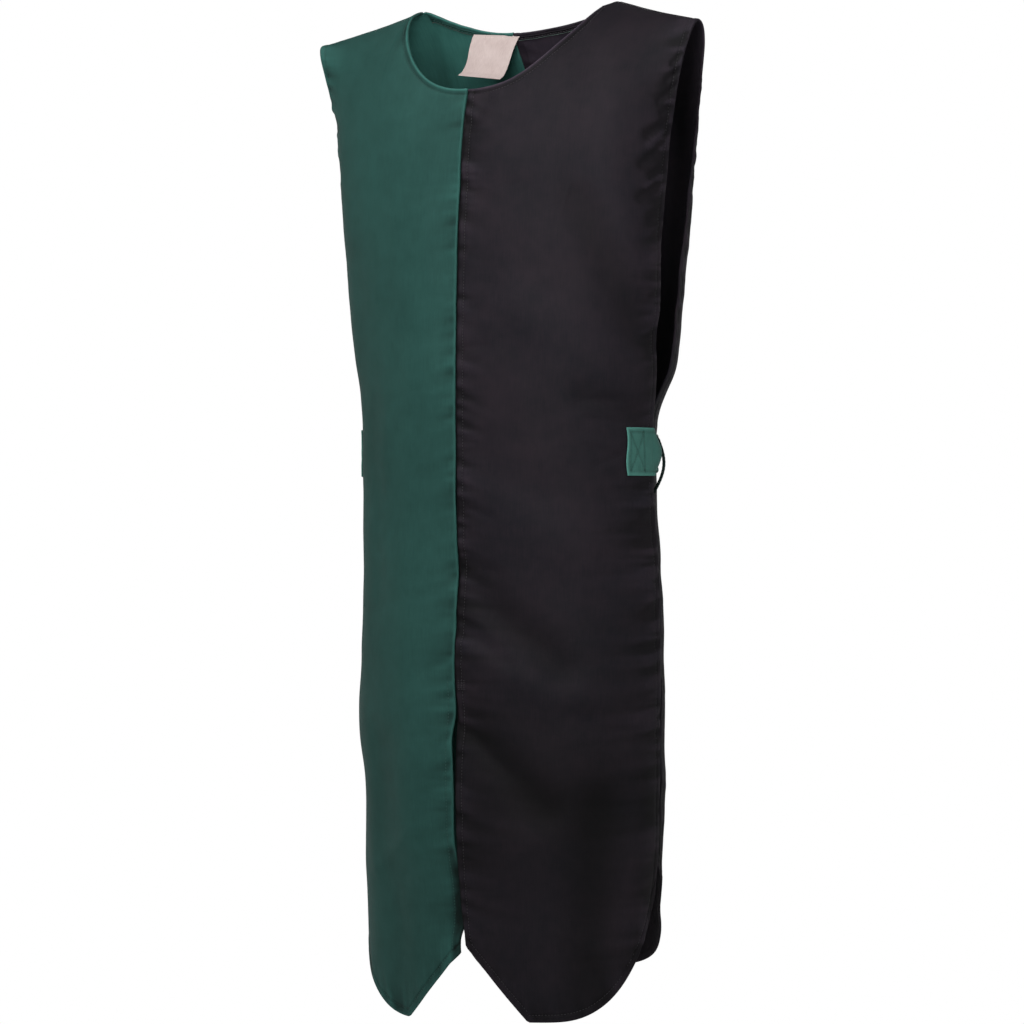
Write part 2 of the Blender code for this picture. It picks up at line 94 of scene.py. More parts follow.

# Cut and cloth, as in the part
HALF_CUT = 0.235
CLOTH = 0.0015
GAP = 0.0003
NECK_HALF_WIDTH = 0.122
NECK_DEPTH = {"front": 0.0965, "back": 0.026}
NECK_ROUNDNESS = {"front": 2.5, "back": 2.0}
BACK_SEAM_LEAN = -0.020
SHOULDER_TIP_X = 0.2335
SHOULDER_TIP_Y = -0.033
SHOULDER_DROP = {"green": 0.037, "black": 0.027}
ARMHOLE_LEAN = {"green": 0.55, "black": 1.0}
YOKE_Z = -0.200
DAG_CORNER_Z = -1.0065
DAG_DEPTH = 0.080
DAG_INNER_TAPER = 0.0793
DAG_OUTER_RISE = 0.133
DAG_OUTER_TAPER = {"front_green": 0.160, "front_black": 0.155, "back_green": 0.160, "back_black": 0.160}
DAG_OUTER_POWER = {"front_green": 2.1, "front_black": 3.6, "back_green": 2.1, "back_black": 2.1}
BACK_HEM_RISE = 0.059
BACK_HEM_TILT = 0.027
SLIT_TOP_Z = -0.725
SLIT_GAP = 0.0020
SLIT_MOUTH = 0.0075
STRAP_TOP_Z = -0.4575
STRAP_HEIGHT = 0.051
STRAP_ON_FRONT = 0.0425
STRAP_ON_BACK = 0.037
STRAP_LOOSE_BACK = 0.022
STRAP_BULGE = 0.0015
STRAP_THICKNESS = 0.0013
STRAP_STEP = 0.0018
LOOP_DIAMETER = 0.0032
LOOP_TOP = (0.1665, 0.0030, -0.4705)
LOOP_FOOT = (0.1630, 0.0008, -0.5239)
LOOP_BULGE = 0.0085
LOOP_TUCK = 0.09            # share of its length by which each end runs on into the cloth
LOOP_TWIST = 0.012          # length of one turn of its strands
LOOP_STRANDS = 3
LOOP_SIDES = 24
LOOP_RINGS = 81
LABEL_WIDTH = 0.058
LABEL_LENGTH = 0.057
LABEL_CENTRE_X = -0.0405
LABEL_TOP_Z = -0.0260
LABEL_CLEARANCE = 0.0015
LABEL_SWING = 0.031
LABEL_DRIFT = -0.0025
LABEL_TURN = 0.004
LABEL_CURL = 0.0035
LABEL_TILT = 0.004
LABEL_FOLD = 0.0050         # depth of its folded top
LABEL_THICKNESS = 0.0007
LABEL_STEP = 0.0016
FACING_THICKNESS = 0.0008

# Half ellipses of the hanging cloth. Columns: z, half_width, edge_y, centre_y
SECTIONS = {
    "front": (
        (-0.200, 0.1975, -0.0380, -0.1320),
        (-0.248, 0.1934, -0.0385, -0.1368),
        (-0.322, 0.1870, -0.0340, -0.1400),
        (-0.391, 0.1810, -0.0300, -0.1415),
        (-0.449, 0.1765, -0.0275, -0.1420),
        (-0.534, 0.1775, -0.0250, -0.1390),
        (-0.640, 0.1790, -0.0180, -0.1400),
        (-0.746, 0.1800, -0.0180, -0.1430),
        (-0.852, 0.1755, -0.0135, -0.1450),
        (-0.916, 0.1745, -0.0150, -0.1410),
        (-0.958, 0.1720, -0.0175, -0.1340),
        (-1.090, 0.1680, -0.0200, -0.1260),
    ),
    "back": (
        (-0.200, 0.1950, 0.0200, 0.0980),
        (-0.279, 0.1840, 0.0220, 0.1120),
        (-0.332, 0.1780, 0.0220, 0.1170),
        (-0.391, 0.1710, 0.0190, 0.1150),
        (-0.445, 0.1600, 0.0000, 0.0980),
        (-0.520, 0.1620, -0.0080, 0.0880),
        (-0.640, 0.1735, -0.0100, 0.0910),
        (-0.750, 0.1755, -0.0080, 0.0970),
        (-0.850, 0.1725, -0.0030, 0.1000),
        (-0.940, 0.1705, -0.0060, 0.0960),
        (-1.060, 0.1660, -0.0080, 0.0920),
    ),
}
# How the cloth leaves the shoulder line and meets the hanging cloth.
# Columns: across, run, fall, lift, lean_x, lean_y
YOKES = {
    "front": (
        (0.00, 0.095, 0.014, 0.100, 0.000, 0.000),
        (0.52, 0.072, 0.003, 0.100, 0.000, 0.000),
        (0.76, 0.045, 0.001, 0.095, 0.005, -0.003),
        (1.00, 0.022, 0.000, 0.090, 0.012, -0.006),
    ),
    "back": (
        (0.00, 0.008, 0.020, 0.090, 0.000, -0.012),
        (0.52, 0.026, 0.004, 0.090, 0.000, -0.006),
        (0.76, 0.032, 0.001, 0.090, 0.005, -0.004),
        (1.00, 0.034, 0.000, 0.090, 0.012, -0.004),
    ),
}

# Folds, creases, and puckers at the armholes, as soft ridges (height above 0) and troughs (below 0). across
# runs from -1 at the green half's side edge through 0 at the centre seam to 1 at the black half's side edge.
# Columns: start_across, start_z, end_across, end_z, spread, height
FOLDS = {
    "front": (
        (0.56, -0.215, 0.88, -0.360, 0.022, -0.0045),
        (0.70, -0.195, 0.97, -0.330, 0.022, 0.0025),
        (0.30, -0.330, 0.86, -0.405, 0.030, 0.0030),
        (0.62, -0.425, 0.90, -0.446, 0.016, -0.0030),
        (0.10, -0.530, 0.60, -0.590, 0.030, 0.0035),
        (0.04, -0.612, 0.48, -0.712, 0.022, -0.0055),
        (0.08, -0.700, 0.55, -0.745, 0.026, 0.0045),
        (0.04, -0.762, 0.42, -0.860, 0.022, -0.0055),
        (0.66, -0.860, 0.64, -1.070, 0.028, -0.0060),
        (0.88, -0.800, 0.86, -1.000, 0.026, 0.0035),
        (0.30, -0.900, 0.34, -1.060, 0.030, 0.0040),
        (-0.30, -0.230, -0.18, -0.420, 0.030, 0.0030),
        (-0.62, -0.280, -0.58, -0.520, 0.032, -0.0030),
        (-0.86, -0.420, -0.86, -0.700, 0.036, -0.0045),
        (-0.78, -0.840, -0.70, -0.900, 0.030, -0.0030),
        (-0.30, -0.600, -0.22, -0.880, 0.030, 0.0035),
        (-0.48, -0.800, -0.40, -1.060, 0.028, -0.0045),
    ),
    "back": (
        (0.30, -0.300, 0.34, -0.560, 0.030, 0.0035),
        (0.62, -0.330, 0.52, -0.620, 0.028, -0.0040),
        (0.28, -0.560, 0.30, -1.030, 0.032, -0.0075),
        (0.55, -0.600, 0.56, -1.040, 0.032, 0.0070),
        (0.82, -0.620, 0.80, -0.960, 0.028, -0.0050),
        (-0.34, -0.280, -0.30, -0.540, 0.030, -0.0035),
        (-0.60, -0.340, -0.66, -0.600, 0.030, 0.0035),
        (-0.26, -0.580, -0.30, -1.040, 0.032, 0.0070),
        (-0.54, -0.560, -0.52, -1.030, 0.032, -0.0075),
        (-0.80, -0.640, -0.78, -0.980, 0.028, 0.0050),
    ),
}
CREASES = {
    "front": (
        (0.115, -0.108, 0.030, -0.142, 0.0050, -0.0011),
        (0.170, -0.112, 0.080, -0.150, 0.0060, 0.0007),
        (0.030, -0.372, 0.150, -0.371, 0.0045, -0.0008),
        (0.030, -0.541, 0.170, -0.552, 0.0050, -0.0011),
        (0.030, -0.528, 0.110, -0.531, 0.0045, 0.0006),
        (0.030, -0.594, 0.200, -0.612, 0.0070, -0.0013),
        (0.030, -0.668, 0.260, -0.706, 0.0090, -0.0018),
        (0.030, -0.650, 0.220, -0.680, 0.0080, 0.0012),
        (0.030, -0.770, 0.240, -0.822, 0.0080, -0.0014),
        (0.600, -0.430, 0.780, -0.428, 0.0050, -0.0010),
        (0.640, -0.448, 0.790, -0.452, 0.0040, -0.0009),
        (0.620, -0.470, 0.780, -0.480, 0.0050, 0.0009),
        (0.660, -0.500, 0.790, -0.486, 0.0045, -0.0007),
        (0.700, -0.300, 0.900, -0.345, 0.0070, -0.0010),
        (0.550, -0.760, 0.930, -0.800, 0.0160, -0.0018),
        (0.520, -0.990, 0.760, -1.030, 0.0120, 0.0012),
        (-0.100, -0.872, -0.550, -0.930, 0.0090, 0.0013),
        (-0.030, -0.900, -0.300, -0.935, 0.0100, -0.0010),
        (-0.030, -0.700, -0.200, -0.720, 0.0070, -0.0008),
        (-0.050, -0.330, -0.140, -0.420, 0.0100, 0.0009),
        (-0.200, -0.160, -0.150, -0.300, 0.0140, 0.0012),
        (-0.520, -0.520, -0.500, -0.640, 0.0140, -0.0010),
    ),
    "back": (
        (0.030, -0.540, 0.200, -0.560, 0.0060, -0.0011),
        (0.030, -0.640, 0.260, -0.690, 0.0090, -0.0016),
        (-0.030, -0.600, -0.220, -0.640, 0.0080, -0.0013),
        (0.600, -0.440, 0.800, -0.432, 0.0060, -0.0012),
        (0.600, -0.476, 0.780, -0.484, 0.0060, 0.0010),
        (-0.600, -0.436, -0.790, -0.430, 0.0060, -0.0012),
        (-0.620, -0.480, -0.790, -0.486, 0.0050, 0.0010),
        (-0.300, -0.180, -0.420, -0.300, 0.0120, 0.0012),
        (0.250, -0.150, 0.400, -0.270, 0.0120, -0.0012),
    ),
}
PUCKERS = {
    "front": (
        (0.975, -0.066, 0.945, -0.074, 0.0036, -0.0014),
        (0.975, -0.082, 0.930, -0.092, 0.0036, -0.0015),
        (0.960, -0.103, 0.905, -0.113, 0.0042, -0.0016),
        (0.965, -0.121, 0.925, -0.126, 0.0036, -0.0012),
        (0.950, -0.136, 0.865, -0.149, 0.0052, -0.0022),
        (0.970, -0.155, 0.925, -0.160, 0.0038, -0.0014),
        (0.905, -0.168, 0.850, -0.180, 0.0052, -0.0019),
        (0.965, -0.184, 0.900, -0.191, 0.0046, -0.0019),
        (0.930, -0.202, 0.850, -0.215, 0.0054, -0.0019),
        (0.960, -0.226, 0.900, -0.236, 0.0046, -0.0012),
        (0.945, -0.145, 0.880, -0.160, 0.0042, 0.0011),
        (0.950, -0.193, 0.880, -0.204, 0.0042, 0.0011),
        (-0.970, -0.120, -0.900, -0.130, 0.0046, -0.0010),
        (-0.960, -0.170, -0.880, -0.182, 0.0050, -0.0012),
    ),
    "back": (
        (0.965, -0.120, 0.900, -0.130, 0.0046, -0.0010),
        (0.960, -0.172, 0.880, -0.184, 0.0050, -0.0012),
        (-0.965, -0.130, -0.900, -0.142, 0.0046, -0.0011),
        (-0.960, -0.180, -0.880, -0.190, 0.0050, -0.0010),
    ),
}

# Sewing
SIDE_HEM = 0.0088           # width of the turned hem on the side edges, the slit and the hem
HEM_STITCH = 0.0080         # distance of the stitching from those edges
NECK_HEM = 0.0062
NECK_FOLD = 0.0013          # how far the neck's turned edge stands out
SEAM_STITCH = 0.0085        # distance of the centre seam's topstitching, on the black side
SEAM_STEP = 0.0014          # the green edge lies over the black one by this much at the centre seam
SEAM_ALLOWANCE = 0.0120
HEM_FOLD = 0.0007           # extra thickness where the cloth is turned in
GROOVE_DEPTH = 0.0007
GROOVE_SPREAD = 0.0010
EDGE_RADIUS = 0.0011
STRAP_FULLNESS = 0.0125     # how much more the strap bows out half-way up than at its edges
STRAP_DIP = 0.0105          # how far its upper edge dips where it meets the back
STRAP_RISE = 0.0070         # how far its lower edge is drawn up there
STRAP_EDGE = 0.0055         # width of its turned edges
CROSS_BOX = 0.024           # how far the crossed box at each end reaches from it
CROSS_INSET = 0.0042        # and where the box starts
FACING_WIDTH = 0.007
TACK_ROWS = 6               # rows of the bar tack at the slit's top
TACK_WIDTH = 0.0095
TACK_PITCH = 0.0019
LAY = 0.0003                # air between the cloth and what is sewn on it
STITCH_LENGTH = 0.0026
STITCH_PITCH = 0.0034
STITCH_WIDTH = 0.0008
STITCH_HEIGHT = 0.0004
FOOT_FULLNESS = 0.0085      # how much lower the green front hangs where the slit ends
PUCKER = 0.0021             # height of the puckers beside a stitched hem
UNEVEN = 0.0012             # height of the cloth's slow unevenness
EDGE_WAVE = {"front": 0.0007, "back": 0.0016}   # height of the waves in a side edge

# Painted light and shade on the cloth, with some worn fading at the edges: paler where the tone is above 0
# and darker where it is below 0
BEAD_HIGHLIGHT = {"green": 1.25, "black": 3.4}       # painted highlight on the neck's rolled edge
# painted shade in the folds' troughs and painted highlight on their ridges
FOLD_SHADING = {"green": 0.10, "black": 0.42}
SIDE_PUCKER_SHADING = {"green": -0.4, "black": 2.2}       # how much stronger the painted light and shade of the puckers is beside the side edge
NECK_INSIDE_LIGHT = 1.7                                 # painted light on the inside of the back near the neck
NECK_INSIDE_LIGHT_DEPTH = 0.075
# painted shade in the stitch grooves
STITCH_SHADE = -0.45
# Lines beside the edges: paler at the edge, partly worn fading and partly painted highlight, and painted
# shade in the stitch grooves and the groove beside the neck's bead. Columns: edge, at, width, outer, inner
EDGE_WEAR_AND_SHADING = (
    ("side", 0.0, 0.0022, 0.45, 0.36),
    ("hem", 0.0, 0.0022, 0.35, 0.28),
    ("side", HEM_STITCH, 0.0011, STITCH_SHADE, STITCH_SHADE),
    ("hem", HEM_STITCH, 0.0011, STITCH_SHADE, STITCH_SHADE),
    ("neck", NECK_HEM, 0.0010, STITCH_SHADE, STITCH_SHADE),
    ("neck", 0.0042, 0.0012, -0.30, 0.0),
)

HALVES = {"green": -1.0, "black": 1.0}
FACES = ("front", "back")
NECK_ACROSS = NECK_HALF_WIDTH / SHOULDER_TIP_X
COARSE = 1.0
HEM_STEP = 0.0016 * COARSE      # space between the columns of a panel's grid near its sides
ACROSS_STEP = 0.0034 * COARSE   # and in its middle
DOWN_STEP = 0.0025 * COARSE
HEM_ZONE = 0.026
RIM_ZONE = 0.012
RIM_STEP = 0.0011 * COARSE
SIDE_POINTS = 800               # points along the stitching of a side, a hem, the neck, and a short line
HEM_POINTS = 500
NECK_POINTS = 300
LINE_POINTS = 60
RIM_STEPS = (0.0, 0.0002, 0.0006, 0.0012, 0.0022, 0.0036)
STRAP_FRONT_SHARE = 1.0 - STRAP_ON_FRONT / HALF_CUT
STRAP_LANDING_SHARE = 1.0 - STRAP_LOOSE_BACK / HALF_CUT
STRAP_BACK_SHARE = STRAP_LANDING_SHARE - STRAP_ON_BACK / HALF_CUT


# Small mathematics

def ease(x):
    x = np.clip(x, 0.0, 1.0)
    return x * x * (3.0 - 2.0 * x)


def unit(vectors):
    return vectors / np.maximum(np.linalg.norm(vectors, axis=-1, keepdims=True), 1e-12)


def near(off, width):
    """1 where off is 0, falling softly to 0 over the width."""
    return np.exp(-(off / width) ** 2)


def bezier(points, t):
    """A point on a curve from the first point to the last, drawn towards the two between them."""
    a, b, c, d = points
    u = 1.0 - t
    return u ** 3 * a + 3 * u * u * t * b + 3 * u * t * t * c + t ** 3 * d


def between(grid, i, j):
    """Values of a grid at places between its rows (i) and its columns (j)."""
    i0 = np.clip(i.astype(int), 0, grid.shape[0] - 2)
    j0 = np.clip(j.astype(int), 0, grid.shape[1] - 2)
    u, v = i - i0, j - j0
    if grid.ndim > 2:
        u, v = u[..., None], v[..., None]
    upper = grid[i0, j0] * (1 - v) + grid[i0, j0 + 1] * v
    lower = grid[i0 + 1, j0] * (1 - v) + grid[i0 + 1, j0 + 1] * v
    return upper * (1 - u) + lower * u


def lengths(points):
    """Lengths along a line of points, from its first point to each."""
    return np.concatenate([[0.0], np.cumsum(np.linalg.norm(np.diff(points, axis=0), axis=1))])


def line_distance(x, y, ends):
    """Distances from places on flat cloth to a straight line between two places."""
    (x0, y0), (x1, y1) = ends
    run_x, run_y = x1 - x0, y1 - y0
    t = np.clip(((x - x0) * run_x + (y - y0) * run_y) / (run_x ** 2 + run_y ** 2), 0.0, 1.0)
    return np.hypot(x - x0 - t * run_x, y - y0 - t * run_y)


def smooth_table(rows):
    """A function that reads a table at values of its first column, on smooth curves through its rows."""
    rows = np.array(sorted(rows))
    keys = rows[:, 0]
    slopes = np.gradient(rows, keys, axis=0)

    def at(x):
        x = np.clip(x, keys[0], keys[-1])
        i = np.clip(np.searchsorted(keys, x, side="right") - 1, 0, len(keys) - 2)
        span = (keys[i + 1] - keys[i])[..., None]
        t = (x - keys[i])[..., None] / span
        value = ((1 + 2 * t) * (1 - t) ** 2 * rows[i] + t * (1 - t) ** 2 * span * slopes[i]
                 + t * t * (3 - 2 * t) * rows[i + 1] + t * t * (t - 1) * span * slopes[i + 1])
        return np.moveaxis(value, -1, 0)

    return at


def noise(x, y, seed):
    """Smooth noise from -1 to 1 over the plane, one feature per unit."""
    rng = np.random.default_rng(seed)
    size = 256
    angles = rng.uniform(0.0, 2.0 * math.pi, (size, size))
    xi, yi = np.floor(x).astype(int), np.floor(y).astype(int)
    xf, yf = x - xi, y - yi
    u, v = (t * t * t * (t * (t * 6 - 15) + 10) for t in (xf, yf))

    def corner(dx, dy):
        angle = angles[(xi + dx) % size, (yi + dy) % size]
        return np.cos(angle) * (xf - dx) + np.sin(angle) * (yf - dy)

    low = corner(0, 0) * (1 - u) + corner(1, 0) * u
    high = corner(0, 1) * (1 - u) + corner(1, 1) * u
    return 1.5 * (low * (1 - v) + high * v)


SECTION_AT = {face: smooth_table(SECTIONS[face]) for face in FACES}
YOKE_AT = {face: smooth_table(YOKES[face]) for face in FACES}


def ellipse_table():
    """Angles on quarter ellipses: a row for each ratio of depth to half width, a column for each share."""
    ratios = np.linspace(0.3, 1.0, 36)
    shares = np.linspace(0.0, 1.0, 301)
    angles = np.linspace(0.0, math.pi / 2, 601)
    rows = []
    for ratio in ratios:
        steps = np.hypot(np.cos(angles), ratio * np.sin(angles))
        along = np.concatenate([[0.0], np.cumsum((steps[1:] + steps[:-1]) / 2)])
        rows.append(np.interp(shares, along / along[-1], angles))
    return ratios, shares, np.array(rows)


ELLIPSE_RATIOS, ELLIPSE_SHARES, ELLIPSE_ANGLES = ellipse_table()


def ellipse_angle(share, ratio):
    """The angle on a quarter ellipse at a share of its length, counted from the centre seam."""
    i = np.interp(ratio, ELLIPSE_RATIOS, np.arange(len(ELLIPSE_RATIOS)))
    j = np.interp(share, ELLIPSE_SHARES, np.arange(len(ELLIPSE_SHARES)))
    return between(ELLIPSE_ANGLES, i, j)


# The cloth's surface, as in the part

def ridges(table, across, z):
    """The height of a table's ridges and troughs at places on the cloth."""
    total = np.zeros(np.broadcast(across, z).shape)
    for start, start_z, end, end_z, spread, height in table:
        ends = ((start * HALF_CUT, start_z), (end * HALF_CUT, end_z))
        total = total + height * near(line_distance(across * HALF_CUT, z, ends), spread)
    return total


def hanging_point(face, across, z):
    _, half_width, edge_y, centre_y = SECTION_AT[face](z)
    depth = centre_y - edge_y
    angle = ellipse_angle(np.abs(across), np.abs(depth) / half_width)
    side = np.sign(across)
    outward = unit(np.stack([side * np.sin(angle) / half_width, np.cos(angle) / depth], axis=-1))
    bulge = ridges(FOLDS[face], across, z)
    x = side * half_width * np.sin(angle) + outward[..., 0] * bulge
    y = edge_y + depth * np.cos(angle) + outward[..., 1] * bulge
    return np.stack([x, y, z + 0.0 * x], axis=-1)


def shoulder_point(colour, across):
    beyond = np.maximum(np.abs(across) - NECK_ACROSS, 0.0) / (1.0 - NECK_ACROSS)
    return np.stack([across * SHOULDER_TIP_X, SHOULDER_TIP_Y * beyond ** 1.3,
                     -SHOULDER_DROP[colour] * beyond ** 0.9], axis=-1)


def down_at(z):
    """The down value of a height below the yoke."""
    return 1.0 + YOKE_Z - z


def cloth_point(face, colour, across, down):
    """Points of the outer surface. down is 0 on the shoulder line, 1 at the yoke, then 1 more a metre."""
    across, down = np.broadcast_arrays(np.asarray(across, float), np.asarray(down, float))
    hanging = hanging_point(face, across, YOKE_Z + 1.0 - np.maximum(down, 1.0))
    _, run, fall, lift, lean_x, lean_y = YOKE_AT[face](np.abs(across))
    forward = -1.0 if face == "front" else 1.0
    zero = np.zeros_like(run)
    top = shoulder_point(colour, across)
    low = hanging_point(face, across, np.full(across.shape, YOKE_Z))
    leave = top + np.stack([zero, forward * run, -fall], axis=-1)
    lean = np.sign(across) * lean_x * ARMHOLE_LEAN[colour]
    arrive = low + np.stack([lean, lean_y, lift], axis=-1)
    yoke = bezier((top, leave, arrive, low), np.clip(down, 0.0, 1.0)[..., None])
    point = np.where(down[..., None] >= 1.0, hanging, yoke)
    if face == "back":
        near_seam = np.maximum(1.0 - (across / NECK_ACROSS) ** 2, 0.0) ** 2
        point[..., 0] += BACK_SEAM_LEAN * near_seam * (1.0 - ease(-point[..., 2] / 0.5))
    return point


def slit_gap(face, z):
    hem_lift = BACK_HEM_RISE if face == "back" else 0.0
    opened = SLIT_GAP * ease((SLIT_TOP_Z - z) / 0.08)
    mouth = SLIT_MOUTH * ease((DAG_CORNER_Z + hem_lift + 0.045 - z) / 0.05)
    return GAP + opened + mouth


def placed_point(face, colour, share, down):
    side = HALVES[colour]
    point = cloth_point(face, colour, side * np.maximum(share, 1e-6), down)
    point[..., 0] += side * slit_gap(face, point[..., 2]) / 2 * (1.0 - share) ** 3
    return point


def surface_frame(face, colour, share, down):
    """Points of a half's plain surface, with the unit normals and the unit steps along share."""
    step = 2e-4
    share, down = np.broadcast_arrays(np.asarray(share, float), np.asarray(down, float))
    share_from, share_to = np.maximum(share - step, 0.0), np.minimum(share + step, 1.0)
    down_from, down_to = np.maximum(down - step, 0.0), down + step

    def at(*place):
        return placed_point(face, colour, *place)

    along_share = unit(at(share_to, down) - at(share_from, down))
    along_down = unit(at(share, down_to) - at(share, down_from))
    normal = unit(np.cross(along_down, along_share))
    if (face == "front") != (colour == "black"):
        normal = -normal
    return at(share, down), normal, along_share


def hem_z(face, colour, share):
    panel = f"{face}_{colour}"
    width = share * HALF_CUT
    inner = np.minimum(width / DAG_INNER_TAPER, 1.0)
    outer = np.maximum(1.0 - (HALF_CUT - width) / DAG_OUTER_TAPER[panel], 0.0) ** DAG_OUTER_POWER[panel]
    lift = BACK_HEM_RISE - HALVES[colour] * share * BACK_HEM_TILT if face == "back" else 0.0
    if panel == "front_green":
        lift = lift - FOOT_FULLNESS * (1.0 - inner ** 2)
    return DAG_CORNER_Z + lift - DAG_DEPTH * inner + DAG_OUTER_RISE * outer


def hem_slope(face, colour, share):
    """The hem outline's rise for each metre of width."""
    step = 1e-3
    low, high = np.maximum(share - step, 0.0), np.minimum(share + step, 1.0)
    return (hem_z(face, colour, high) - hem_z(face, colour, low)) / ((high - low) * HALF_CUT)


def hem_down(face, colour, share):
    return down_at(hem_z(face, colour, share))


def top_down(face, colour, shares):
    """Where a half's cloth starts: on the neck's outline, or on the shoulder seam."""
    starts = []
    downs = np.linspace(0.0, 1.0, 401)
    for share in np.atleast_1d(shares):
        seam = GAP / 2 / (3.0 * float(YOKE_AT[face](np.array(share))[1]))
        if share >= NECK_ACROSS - 1e-6:
            starts.append(seam)
            continue
        neck_z = -NECK_DEPTH[face] * (1.0 - (share / NECK_ACROSS) ** NECK_ROUNDNESS[face])
        heights = cloth_point(face, colour, HALVES[colour] * max(share, 1e-6), downs)[:, 2]
        starts.append(max(float(np.interp(-neck_z, -heights, downs)), seam))
    return np.array(starts)


# The cloth's small relief: creases, puckers beside the stitching, and slow unevenness

def edge_distances(face, colour, share, z, from_top):
    """Distances in metres to the side edge, the centre, the hem, and the neck's outline."""
    slope = hem_slope(face, colour, share)
    return {
        "side": (1.0 - share) * HALF_CUT,
        "centre": share * HALF_CUT,
        "hem": np.maximum(z - hem_z(face, colour, share), 0.0) / np.sqrt(1.0 + slope ** 2),
        "neck": from_top,
    }


def puckers(along, off, width, seed):
    """Short uneven creases that cross a stitched hem and fade inward. off is the distance from the edge."""
    row = np.zeros_like(along) + seed + 0.5
    wave = noise(along / 0.0115 + 0.3 * off / width, row, seed)
    wave = wave + 0.5 * noise(along / 0.0056, 3.0 * row, seed + 1)
    uneven = 0.35 + 0.65 * ease(0.5 + 1.3 * noise(along / 0.060, 7.0 * row, seed + 2))
    reach = np.exp(-np.maximum(off - 0.7 * width, 0.0) / (1.3 * width))
    return PUCKER * uneven * wave * reach * ease(off / (0.35 * width))


def free_cloth(face, share, z):
    """1 on free cloth, 0 under a side strap, which holds the cloth flat."""
    first, last = (STRAP_FRONT_SHARE, 1.0) if face == "front" else (STRAP_BACK_SHARE, STRAP_LANDING_SHARE)
    beside = np.maximum(first - share, share - last) * HALF_CUT
    beyond = np.maximum(z - STRAP_TOP_Z, STRAP_TOP_Z - STRAP_HEIGHT - z)
    return ease((np.maximum(beside, beyond) - 0.001) / 0.008)


def relief(face, colour, share, z, distances):
    """How far the finished cloth stands out from the plain surface, and how much of that is small puckers."""
    black = colour == "black"
    seed = 11 + 5 * FACES.index(face) + 2 * black
    across = HALVES[colour] * share
    x = across * HALF_CUT
    low_side = 0.8 * ease((-0.46 - z) / 0.10) if black and face == "front" else 0.0
    rows = (  # strength, place along the edge, edge, width, number of the seed
        ((0.8 if face == "front" else 0.5) + 0.4 * near(z + 0.19, 0.09), z, "side", SIDE_HEM, 0),
        (0.6, x, "hem", SIDE_HEM, 40),
        (low_side, z, "side", 2.6 * SIDE_HEM, 7),
        (1.1 if black else 0.35, z, "centre", SIDE_HEM, 60),
        (ease((-0.55 - z) / 0.15) * (0.5 if black else 0.15), z, "centre", 2.2 * SIDE_HEM, 65),
        (np.where(share < NECK_ACROSS, 0.3, 0.0), x, "neck", NECK_HEM, 80),
    )
    small = ridges(PUCKERS[face], across, z)
    for strength, along, edge, width, number in rows:
        small = small + strength * puckers(along, distances[edge], width, seed + number)
    slow = ridges(CREASES[face], across, z) + UNEVEN * noise(x / 0.075, z / 0.095, seed + 20)
    slow = slow + 0.4 * UNEVEN * noise(x / 0.030, z / 0.042, seed + 21)
    edge_wave = EDGE_WAVE[face] * noise(z / 0.036, 0.0 * z + 0.5, seed + 90)
    slow = slow + edge_wave * near(distances["side"], 0.04)
    free = free_cloth(face, share, z)
    return (small + slow) * free, small * free


def on_slit(z):
    """1 where the slit is, 0 above it."""
    return ease((SLIT_TOP_Z + 0.01 - z) / 0.02)


def on_neck(share):
    """1 under the neck's outline, 0 under the shoulder seam."""
    return ease((NECK_ACROSS - share) / 0.02)


def groove(off, at):
    return -GROOVE_DEPTH * near(off - at, GROOVE_SPREAD)


def sewing(face, colour, share, z, distances):
    """(outer, inner): how far turned hems, seams and stitch grooves move the wall's two sides outward."""
    side, centre, hem, neck = (distances[edge] for edge in ("side", "centre", "hem", "neck"))
    slit, neckline = on_slit(z), on_neck(share)

    def within(off, width):
        return ease((width + 0.001 - off) / 0.002)

    turned = np.maximum(within(side, SIDE_HEM), within(hem, SIDE_HEM))
    turned = np.maximum(turned, slit * within(centre, SIDE_HEM))
    outer = 0.25 * HEM_FOLD * turned + groove(side, HEM_STITCH) + groove(hem, HEM_STITCH)
    if colour == "black":
        outer = outer + groove(centre, SEAM_STITCH) - SEAM_STEP * ease((0.0036 - centre) / 0.0030)
    else:
        outer = outer + slit * groove(centre, SEAM_STITCH)
        outer = outer + 0.6 * SEAM_STEP * ease((0.0042 - centre) / 0.0030)
    band = neckline * ease((NECK_HEM + 0.0004 - neck) / 0.0012)
    bead = neckline * near(neck - 0.0017, 0.0013)
    outer = outer + NECK_FOLD * (0.3 * band + bead) + neckline * groove(neck, NECK_HEM)
    seam_allowance = (1.0 - slit) * ease((SEAM_ALLOWANCE - centre) / 0.0015)
    inside_neck = 0.6 * band if face == "front" else 0.0
    inner = -0.75 * HEM_FOLD * np.maximum(np.maximum(turned, seam_allowance), inside_neck)
    return outer, inner


